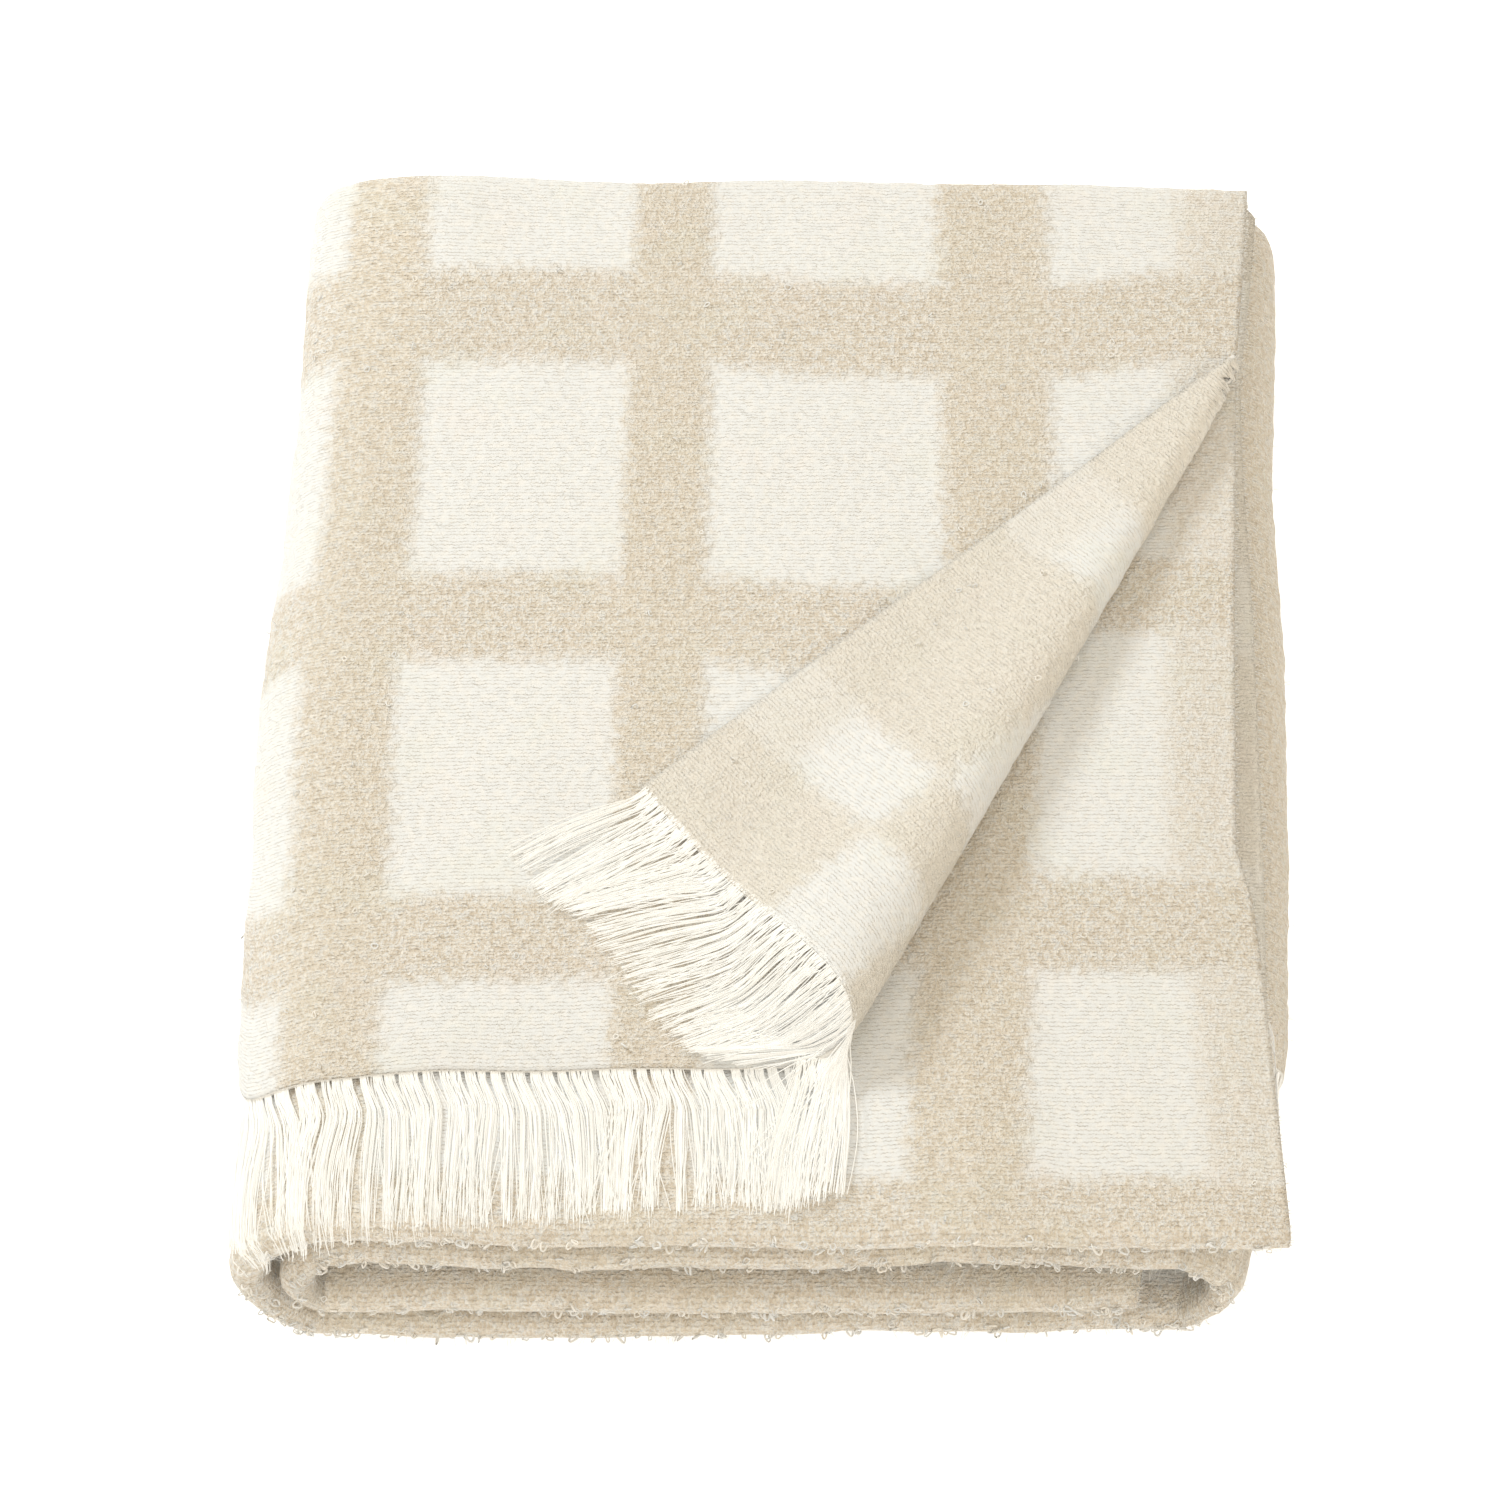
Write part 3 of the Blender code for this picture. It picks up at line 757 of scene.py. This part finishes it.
def binding(material):
    """The narrow twisted cord that ends the weave where the strands leave it."""
    a = np.arange(0.001, RUNS[2] + 0.06, CORD_SPACING)
    edge = cloth_point(a, np.full_like(a, CORD_BACK))
    inside = cloth_point(a, np.full_like(a, 0.004))
    other = cloth_point(a + 0.001, np.full_like(a, CORD_BACK))
    inward = unit(inside - edge)
    normal = unit(np.cross(inward, unit(other - edge)))
    twist = a * 2 * math.pi / BUNDLE_PITCH
    ropes = []
    for phase in (0.0, math.pi):
        swing = np.cos(twist + phase)[:, None] * normal + np.sin(twist + phase)[:, None] * inward
        ropes.append(edge + swing * CORD_RADIUS)
    return tubes("fringe_binding", np.array(ropes), CORD_RADIUS, 6, (material,))


def upside_down(a):
    """Whether each width lies in a layer that the spiral has turned over."""
    return (a > (RUNS[1] + RUNS[2]) / 2) & (a < (RUNS[3] + RUNS[4]) / 2) | (a > (RUNS[5] + RUNS[6]) / 2)


# Loose yarn: how many of each kind, and their sizes in metres.
LIP_LOOPS = 440
TOP_LOOPS = 380
SECOND_LOOPS = 90
LOOP_RADIUS = (0.0006, 0.0011)
LIP_LOOP_SCALE = 1.25
FLAT_LOOP_SCALE = 0.95
LOOP_YARN = (0.24, 0.32)  # a loop's yarn, as a share of its radius
LOOP_POINTS = 13
LOOP_START = -0.42 * math.pi
LOOP_END = 1.75 * math.pi
LIP_MARGIN = 0.002
SECOND_REACH = 0.17
FIBRE_RADIUS = 0.00008
FIBRE_LENGTH = (0.0012, 0.0036)
TUFT_RADIUS = 0.00013
TUFT_LENGTH = (0.0008, 0.0024)
TUFT_SPACING = 0.0006
UNDER_TUFT_SPACING = 0.0009
TUFT_INSET = 0.0006
TUFT_SCATTER = 0.45
HAIR_STEPS = 4
TURNED_SHARE = 0.02  # from here on round the turned corner, its reverse shows


def showing_side(a, t):
    """1 where the cloth's face looks up, and -1 where the turned corner's reverse does."""
    return np.where(corner_share(a, t) > TURNED_SHARE, -1.0, 1.0)


def loops(material):
    """Small curls of yarn that stand out of the folds and the fuzzy bands."""
    lip_a = rng.uniform(0.004, WIDTH - 0.004, LIP_LOOPS)
    lip_share = np.clip(rng.normal(0.50, 0.11, LIP_LOOPS), 0.05, 0.9)
    lip_share = np.where(upside_down(lip_a), 1 - lip_share, lip_share)
    lip_t = LIP_START + (LIP_END - LIP_START) * lip_share
    top_a = rng.uniform(0.01, RUNS[2], TOP_LOOPS)
    top_t = rng.uniform(0.002, TOP_LENGTH + PAST_BEND, TOP_LOOPS)
    second_a = rng.uniform(0.0, SECOND_REACH, SECOND_LOOPS)
    second_t = rng.uniform(LIP_END, LIP_END + 0.3, SECOND_LOOPS)
    a = np.concatenate([lip_a, top_a, second_a])
    t = np.concatenate([lip_t, top_t, second_t])
    band_a, band_t = (np.mod(value, 1) < BAND_SHARE for value in check_of(a, t))
    share = corner_share(a, t)
    side = showing_side(a, t)
    fuzzy = np.where(side > 0, band_a | band_t, band_a == band_t)
    keep = fuzzy & ~((share > 0) & (share < 0.08))
    a, t, side = a[keep], t[keep], side[keep]
    base, normal = surface(a, t, side[:, None])
    count = len(a)
    on_lip = (t > LIP_START - LIP_MARGIN) & (t < LIP_END + LIP_MARGIN)
    radius = rng.uniform(*LOOP_RADIUS, count) * np.where(on_lip, LIP_LOOP_SCALE, FLAT_LOOP_SCALE)
    flat = unit(np.cross(normal, unit(rng.standard_normal((count, 3)))))
    tilt = rng.uniform(0.15, 0.9, count)[:, None]
    upward = unit(normal * tilt + np.cross(normal, flat) * (1 - tilt))
    angle = np.linspace(LOOP_START, LOOP_END, LOOP_POINTS)[None, :, None]
    uneven = np.sin(2.3 * angle + rng.uniform(0, 6, count)[:, None, None])
    grow = radius[:, None, None] * (1 + 0.18 * uneven)
    paths = (
        base[:, None, :]
        + flat[:, None, :] * np.cos(angle) * grow
        + upward[:, None, :] * (np.sin(angle) + 0.6) * grow
    )
    tone = rng.uniform(-1, 1, count)
    thickness = rng.uniform(*LOOP_YARN, count)[:, None] * radius[:, None]
    return tubes("boucle_loops", paths, thickness, 5, (material,), tone)


def nap_fibres(material):
    """Fine loose fibres that soften the cloth's folds, edges and fuzzy bands."""
    zones = (
        (3400, 0.0, RUNS[2], 0.0, TOP_LENGTH + PAST_BEND),
        (2600, 0.0, WIDTH, LIP_START - LIP_MARGIN, LIP_END + LIP_MARGIN),
        (900, 0.0, SECOND_REACH, LIP_END, LIP_END + 0.34),
        (900, RUNS[1], RUNS[2], 0.0, TOP_LENGTH),
        (700, RUNS[3], RUNS[4], 0.0, TOP_LENGTH),
    )
    spots = [
        (rng.uniform(a_low, a_high, number), rng.uniform(t_low, t_high, number))
        for number, a_low, a_high, t_low, t_high in zones
    ]
    a, t = (np.concatenate(values) for values in zip(*spots))
    base, normal = surface(a, t, showing_side(a, t)[:, None])
    count = len(a)
    lean = unit(rng.standard_normal((count, 3)))
    length = rng.uniform(*FIBRE_LENGTH, count)[:, None]
    along = np.linspace(0, 1, HAIR_STEPS)[None, :, None]
    curl = unit(rng.standard_normal((count, 3)))[:, None, :]
    heading = unit(normal * rng.uniform(0.15, 0.8, count)[:, None] + lean * 0.8)
    outward = np.sum(heading * normal, axis=1, keepdims=True)
    heading = unit(heading - np.minimum(outward, 0.05) * normal)
    paths = base[:, None, :] + heading[:, None, :] * along * length[:, None, :]
    paths = paths + curl * length[:, None, :] * 0.3 * along**2
    paths = paths - 0.0002 * normal[:, None, :] * (1 - along)
    return tubes("nap_fibres", paths, FIBRE_RADIUS, 3, (material,), rng.uniform(-1, 1, count))


def selvedge_tufts(material):
    """Short cut weft ends along the woven edges."""
    upper = np.arange(0.004, TOP_LENGTH, TUFT_SPACING)
    lower = np.arange(UNDER_START, LENGTH - 0.02, UNDER_TUFT_SPACING)
    edge_t = np.concatenate([upper, lower])
    t = np.tile(edge_t, 2)
    outer = np.repeat([True, False], len(edge_t))
    edge = cloth_point(np.where(outer, TUFT_INSET, WIDTH - TUFT_INSET), t)
    inside = cloth_point(np.where(outer, 0.005, WIDTH - 0.005), t)
    count = len(t)
    length = rng.uniform(*TUFT_LENGTH, count)[:, None]
    stray = TUFT_SCATTER * rng.standard_normal((count, 3))
    along = np.linspace(0, 1, HAIR_STEPS)[None, :, None]
    heading = unit(unit(edge - inside) + stray)
    paths = edge[:, None, :] + heading[:, None, :] * along * length[:, None, :]
    return tubes("selvedge_tufts", paths, TUFT_RADIUS, 3, (material,), rng.uniform(-1, 1, count))


# The sockets of a colour mix node.
MIX_FIRST = 6
MIX_SECOND = 7
MIX_RESULT = 2


class Nodes:
    """Shader nodes of one material, made by short calls."""

    def __init__(self, name, roughness, sheen):
        self.material = bpy.data.materials.new(name)
        self.material.use_nodes = True
        self.tree = self.material.node_tree
        self.shader = self.tree.nodes["Principled BSDF"]
        self.shader.inputs["Roughness"].default_value = roughness
        self.shader.inputs["Specular IOR Level"].default_value = 0.25
        self.shader.inputs["Sheen Weight"].default_value = sheen
        self.shader.inputs["Sheen Roughness"].default_value = 0.5

    def feed(self, socket, value):
        """Links an output to a socket, or sets the socket's value."""
        if isinstance(value, bpy.types.NodeSocket):
            self.tree.links.new(value, socket)
        else:
            socket.default_value = value

    def math(self, operation, first, second=0.0):
        """One calculation on numbers."""
        node = self.tree.nodes.new("ShaderNodeMath")
        node.operation = operation
        self.feed(node.inputs[0], first)
        self.feed(node.inputs[1], second)
        return node.outputs[0]

    def plus(self, first, second):
        """The sum of two numbers."""
        return self.math("ADD", first, second)

    def minus(self, first, second):
        """The first number less the second."""
        return self.math("SUBTRACT", first, second)

    def times(self, first, second):
        """The product of two numbers."""
        return self.math("MULTIPLY", first, second)

    def from_middle(self, value):
        """How far a number is from the middle of its whole-number step, from 0 to a half."""
        return self.math("ABSOLUTE", self.minus(self.math("FRACT", value), 0.5))

    def split(self, attribute):
        """The parts of a vector attribute of the mesh."""
        source = self.tree.nodes.new("ShaderNodeAttribute")
        source.attribute_name = attribute
        parts = self.tree.nodes.new("ShaderNodeSeparateXYZ")
        self.feed(parts.inputs[0], source.outputs["Vector"])
        return parts.outputs[0], parts.outputs[1], source.outputs["Vector"]

    def noise(self, vector, scale, detail=2.0, stretch=None):
        """Noise from 0 to 1 with features 1 / scale metres apart."""
        if stretch:
            moved = self.tree.nodes.new("ShaderNodeMapping")
            self.feed(moved.inputs["Vector"], vector)
            moved.inputs["Scale"].default_value = stretch
            vector = moved.outputs[0]
        node = self.tree.nodes.new("ShaderNodeTexNoise")
        self.feed(node.inputs["Vector"], vector)
        node.inputs["Scale"].default_value = scale
        node.inputs["Detail"].default_value = detail
        return node.outputs["Fac"]

    def ramp(self, value, low, high, start=0.0, end=1.0):
        """A smooth change from start to end as the value goes from low to high."""
        node = self.tree.nodes.new("ShaderNodeMapRange")
        node.interpolation_type = "SMOOTHSTEP"
        self.feed(node.inputs["Value"], value)
        node.inputs["From Min"].default_value = low
        node.inputs["From Max"].default_value = high
        node.inputs["To Min"].default_value = start
        node.inputs["To Max"].default_value = end
        return node.outputs["Result"]

    def mix(self, share, first, second):
        """A blend of two colours."""
        node = self.tree.nodes.new("ShaderNodeMix")
        node.data_type = "RGBA"
        self.feed(node.inputs[0], share)
        self.feed(node.inputs[MIX_FIRST], first)
        self.feed(node.inputs[MIX_SECOND], second)
        return node.outputs[MIX_RESULT]

    def speckle(self, colour, *speckles):
        """The colour with specks of others: each is a noise, its two ends, its strength and its colour."""
        for value, low, high, most, other in speckles:
            colour = self.mix(self.ramp(value, low, high, 0.0, most), colour, other)
        return colour

    def finish(self, colour, height, distance):
        """Sets the shader's colour, and its bump from a height between 0 and 1."""
        self.feed(self.shader.inputs["Base Color"], colour)
        bump = self.tree.nodes.new("ShaderNodeBump")
        bump.inputs["Strength"].default_value = 1.0
        bump.inputs["Distance"].default_value = distance
        self.feed(bump.inputs["Height"], height)
        self.feed(self.shader.inputs["Normal"], bump.outputs[0])
        return self.material


# The weave: spacing of its yarns, in metres, and its colours.
WEFT_PITCH = 0.0013
WARP_PITCH = 0.0016
WHITE = (0.812, 0.826, 0.832, 1.0)
# painted shade for the gaps between the yarns
PAINTED_GAP_SHADE = (0.72, 0.62, 0.48, 1.0)
BEIGE = (0.945, 0.90, 0.825, 1.0)
DEEP_BEIGE = (0.62, 0.505, 0.36, 1.0)
CROSSING = (0.80, 0.72, 0.58, 1.0)
# the reverse's paler yarn, lightened and warmed further as painted light shining through the thin cloth
REVERSE_WITH_PAINTED_LIGHT = (0.90, 0.86, 0.785, 1.0)
IVORY = (0.88, 0.875, 0.85, 1.0)
IVORY_SHADE = (0.86, 0.85, 0.81, 1.0)
BLUSH = (0.90, 0.79, 0.72, 1.0)
MOSS = (0.79, 0.82, 0.68, 1.0)
MATT = 0.92
CLOTH_SHEEN = 0.25

# The soft beige border along each selvedge, in metres from it, and how strong it is.
BORDER_START = 0.031
BORDER_WHOLE = 0.018
BORDER_STRENGTH = 0.62

# A band's ragged edge, in band periods.
RAGGED = 0.10
EDGE_OUT = 0.045
EDGE_IN = 0.035

# Noise scales, in features per metre.
RAGGED_SCALE = 260.0
WOBBLE_SCALE = 330.0
CLUMP_SCALE = 340.0
PATCH_SCALE = 420.0
CURL_SCALE = 900.0
FIBRE_SCALE = 1800.0
RIM_SCALE = 1300.0
BLUSH_SCALE = 42.0
MOSS_SCALE = 37.0
MOSS_STRETCH = (1.0, 1.0, 3.0)

ROW_WOBBLE = 0.9
COLUMN_WOBBLE = 1.3
CLOTH_RELIEF = 0.0018
RIM_RELIEF = 0.0006
STRAND_RELIEF = 0.00005


def band_masks(n, *coordinates):
    """Where the bands across and along the cloth are, each from 0 to 1."""
    _, _, flat = n.split("flat")
    ragged = n.times(n.minus(n.noise(flat, RAGGED_SCALE), 0.5), RAGGED)
    masks = []
    for value in coordinates:
        away = n.from_middle(n.plus(n.plus(value, 0.5 - BAND_SHARE / 2), ragged))
        masks.append(n.ramp(away, BAND_SHARE / 2 + EDGE_OUT, BAND_SHARE / 2 - EDGE_IN))
    return masks


def weave_gaps(n, flat_a, flat_t, flat):
    """The little gaps between the yarns of the weave, from 0 to 1, where the cloth gets painted shade and a
    lower bump.
    """
    wobble = n.minus(n.noise(flat, WOBBLE_SCALE, 1.0), 0.5)
    row = n.plus(n.times(flat_t, 1 / WEFT_PITCH), n.times(wobble, ROW_WOBBLE))
    column = n.plus(n.times(flat_a, 1 / WARP_PITCH), n.times(wobble, COLUMN_WOBBLE))
    column = n.plus(column, n.times(n.math("FLOOR", row), 0.5))
    between_rows = n.ramp(n.from_middle(row), 0.24, 0.48)
    between_columns = n.ramp(n.from_middle(column), 0.14, 0.46)
    patchy = n.ramp(n.noise(flat, PATCH_SCALE, 2.0), 0.36, 0.62)
    gaps = n.times(between_rows, n.plus(n.times(between_columns, 0.75), 0.25))
    return n.times(gaps, n.plus(n.times(patchy, 0.8), 0.2))


def cloth_material(name, reverse):
    """The woven cloth, seen on its face or its reverse."""
    n = Nodes(name, MATT, CLOTH_SHEEN)
    flat_a, flat_t, flat = n.split("flat")
    check_a, check_t, _ = n.split("check")
    bands = band_masks(n, check_a, check_t)
    fuzzy = n.math("MAXIMUM", *bands)
    if reverse:
        fuzzy = n.plus(n.minus(1.0, fuzzy), n.times(*bands))
    border = n.ramp(flat_a, BORDER_START, BORDER_WHOLE, 0.0, BORDER_STRENGTH)
    other_border = n.ramp(n.minus(WIDTH, flat_a), BORDER_START, BORDER_WHOLE, 0.0, BORDER_STRENGTH)
    fuzzy = n.math("MAXIMUM", fuzzy, n.math("MAXIMUM", border, other_border))
    gaps = weave_gaps(n, flat_a, flat_t, flat)
    curls = n.noise(flat, CURL_SCALE, 3.0)
    fibres = n.noise(flat, FIBRE_SCALE, 2.0)
    clumps = n.noise(flat, CLUMP_SCALE, 2.5)
    # the woven white gets painted shade in the gaps between its yarns
    woven = n.mix(n.times(gaps, 0.50), WHITE, PAINTED_GAP_SHADE)
    woven = n.speckle(woven, (fibres, 0.55, 0.8, 0.3, BEIGE), (clumps, 0.56, 0.36, 0.28, BEIGE))
    boucle = n.mix(n.ramp(curls, 0.58, 0.38, 0.0, 0.52), BEIGE, DEEP_BEIGE)
    # painted shade in the gaps between the boucle's yarns; DEEP_BEIGE also gives its own random darker curls
    boucle = n.mix(n.times(gaps, 0.35), boucle, DEEP_BEIGE)
    boucle = n.speckle(
        boucle,
        (fibres, 0.50, 0.66, 0.75, WHITE),
        (clumps, 0.54, 0.38, 0.34, DEEP_BEIGE),
        (clumps, 0.52, 0.66, 0.45, WHITE),
    )
    boucle = n.mix(n.times(bands[0], 0.20), boucle, CROSSING)
    if reverse:
        # the reverse is paler, partly its own yarn and partly painted light shining through the cloth
        boucle = n.mix(0.78, boucle, REVERSE_WITH_PAINTED_LIGHT)
    blush = n.noise(flat, BLUSH_SCALE, 3.0)
    moss = n.noise(flat, MOSS_SCALE, 3.0, MOSS_STRETCH)
    colour = n.mix(fuzzy, woven, boucle)
    colour = n.speckle(colour, (blush, 0.52, 0.75, 0.13, BLUSH), (moss, 0.5, 0.28, 0.12, MOSS))
    filled = n.minus(1.0, gaps)
    high = n.plus(n.plus(n.times(curls, 0.9), n.times(filled, 0.22)), n.times(clumps, 0.35))
    low = n.plus(n.plus(n.times(filled, 0.16), n.times(fibres, 0.12)), n.times(clumps, 0.2))
    height = n.plus(n.times(high, fuzzy), n.times(low, n.minus(1.0, fuzzy)))
    return n.finish(colour, height, CLOTH_RELIEF)


def rim_material():
    """The cloth's thin cut and woven edges."""
    n = Nodes("cloth_edge", MATT, CLOTH_SHEEN)
    _, _, flat = n.split("flat")
    fibres = n.noise(flat, RIM_SCALE, 2.0)
    colour = n.mix(fibres, BEIGE, WHITE)
    return n.finish(colour, fibres, RIM_RELIEF)


def yarn_material(name, light, dark, roughness, sheen, painted_glow):
    """A yarn whose strands differ a little, with painted shade at the root and a painted glow that lifts its
    shadows.
    """
    n = Nodes(name, roughness, sheen)
    tone, along, yarn = n.split("yarn")
    streaks = n.noise(yarn, 9.0, 2.0)
    share = n.ramp(n.plus(n.times(tone, 0.35), streaks), 0.1, 1.1)
    colour = n.mix(share, light, dark)
    # painted shade where each strand or loop leaves the cloth
    colour = n.speckle(colour, (along, 0.12, 0.0, 0.3, dark))
    # painted light: a glow, though the yarn is no lamp, that lifts its shadows
    n.feed(n.shader.inputs["Emission Color"], light)
    n.feed(n.shader.inputs["Emission Strength"], painted_glow)
    return n.finish(colour, streaks, STRAND_RELIEF)


FLOOR_LIGHT = (0.93, 0.93, 0.925, 1.0)
FLOOR_DARK = (0.90, 0.90, 0.895, 1.0)
FLOOR_GLOW_COLOUR = (0.95, 0.975, 1.0, 1.0)
FLOOR_GLOW = 0.50
FLOOR_REACH = 4.0
FLOOR_DROP = 0.0004


def floor_material():
    """A plain pale studio floor."""
    n = Nodes("studio_floor", 0.9, 0.0)
    coordinates = n.tree.nodes.new("ShaderNodeTexCoord")
    grain = n.noise(coordinates.outputs["Generated"], 60.0)
    colour = n.mix(n.times(grain, 0.04), FLOOR_LIGHT, FLOOR_DARK)
    n.feed(n.shader.inputs["Emission Color"], FLOOR_GLOW_COLOUR)
    n.feed(n.shader.inputs["Emission Strength"], FLOOR_GLOW)
    return n.finish(colour, grain, 0.0001)


def floor():
    """The floor that the stack rests on."""
    corners_xy = ((-1, -1), (1, -1), (1, 1), (-1, 1))
    verts = [(x * FLOOR_REACH, y * FLOOR_REACH, 0) for x, y in corners_xy]
    made = new_mesh("studio_floor", verts, [(0, 1, 2, 3)], (floor_material(),))
    made.location.z = -FLOOR_DROP


# The studio: the sky's colour and strength, and each light's name, place, size, power and colour.
SKY_COLOUR = (1.0, 0.89, 0.71, 1.0)
SKY_STRENGTH = 0.70
LIGHTS = (
    ("key", (-1.2, 0.78, 1.42), 0.6, 17.5, (0.895, 0.965, 1.02)),
    ("top", (-0.1, 0.05, 2.3), 1.2, 5.0, (0.95, 0.98, 1.0)),
    ("fill", (0.6, -1.5, 1.6), 1.6, 7.0, (1.0, 0.99, 0.98)),
)


def area_light(name, location, size, power, colour):
    """A large soft light that looks at the stack."""
    data = bpy.data.lights.new(name, "AREA")
    data.shape = "DISK"
    data.size = size
    data.energy = power
    data.color = colour
    made = bpy.data.objects.new(name, data)
    made.location = location
    aim = -made.location
    made.rotation_euler = aim.to_track_quat("-Z", "Y").to_euler()
    bpy.context.scene.collection.objects.link(made)


def studio():
    """Soft, bright light from all round, strongest from the upper left."""
    world = bpy.data.worlds.new("studio")
    world.use_nodes = True
    sky = world.node_tree.nodes["Background"]
    sky.inputs["Color"].default_value = SKY_COLOUR
    sky.inputs["Strength"].default_value = SKY_STRENGTH
    bpy.context.scene.world = world
    bpy.context.scene.view_settings.view_transform = "Standard"
    for light in LIGHTS:
        area_light(*light)


CAMERA_PLACE = (-0.008, -0.6779, 1.3107)
CAMERA_TILT = math.radians(27.5)
FOCAL_LENGTH = 100.0  # in millimetres
SENSOR_WIDTH = 36.0


def camera():
    """The photograph's viewing angle."""
    data = bpy.data.cameras.new("camera")
    data.lens = FOCAL_LENGTH
    data.sensor_width = SENSOR_WIDTH
    data.dof.use_dof = False
    made = bpy.data.objects.new("camera", data)
    made.location = CAMERA_PLACE
    made.rotation_euler = (CAMERA_TILT, 0, 0)
    bpy.context.scene.collection.objects.link(made)
    bpy.context.scene.camera = made


CLOTH_NODES = (
    "top_panel",
    "turned_corner",
    "upper_layer",
    "second_layer",
    "third_layer",
    "bottom_layer",
    "left_outer_fold",
    "left_inner_fold",
    "right_outer_fold",
)
FRINGE_NODES = (
    "front_fringe",
    "corner_fringe",
    "left_outer_fringe",
    "underside_fringe",
    "right_outer_fringe",
    "second_layer_fringe",
    "left_inner_fringe",
    "third_layer_fringe",
)
HIDDEN_PARTS = (
    "upper_layer",
    "left_outer",
    "bottom_layer",
    "right_outer",
    "second_layer",
    "left_inner",
    "third_layer",
)

camera()
studio()
floor()

# the last number of each yarn is its painted glow
YARN = yarn_material("boucle_yarn", WHITE, BEIGE, 0.9, 0.3, 0.02)
STRANDS = yarn_material("fringe_strands", IVORY, IVORY_SHADE, 0.5, 0.15, 0.22)
FACE = cloth_material("cloth_face", False)
BACKING = cloth_material("cloth_reverse", True)
cloth = woven_blanket(FACE, BACKING, rim_material())
fringe = outer_fringe(STRANDS)
inner = hidden_fringe(STRANDS)
cord = binding(STRANDS)
curls = loops(YARN)
fibres = nap_fibres(YARN)
tufts = selvedge_tufts(YARN)

for piece, slot in (
    (cloth, "woven_cloth"),
    (fringe, "fringe_strands"),
    (inner, "fringe_strands"),
    (cord, "fringe_strands"),
    (curls, "woven_cloth"),
    (fibres, "woven_cloth"),
    (tufts, "woven_cloth"),
):
    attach(piece, "root")

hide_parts(*CLOTH_NODES)
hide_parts(*FRINGE_NODES)
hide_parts(*("hidden_fringe_" + part for part in HIDDEN_PARTS))
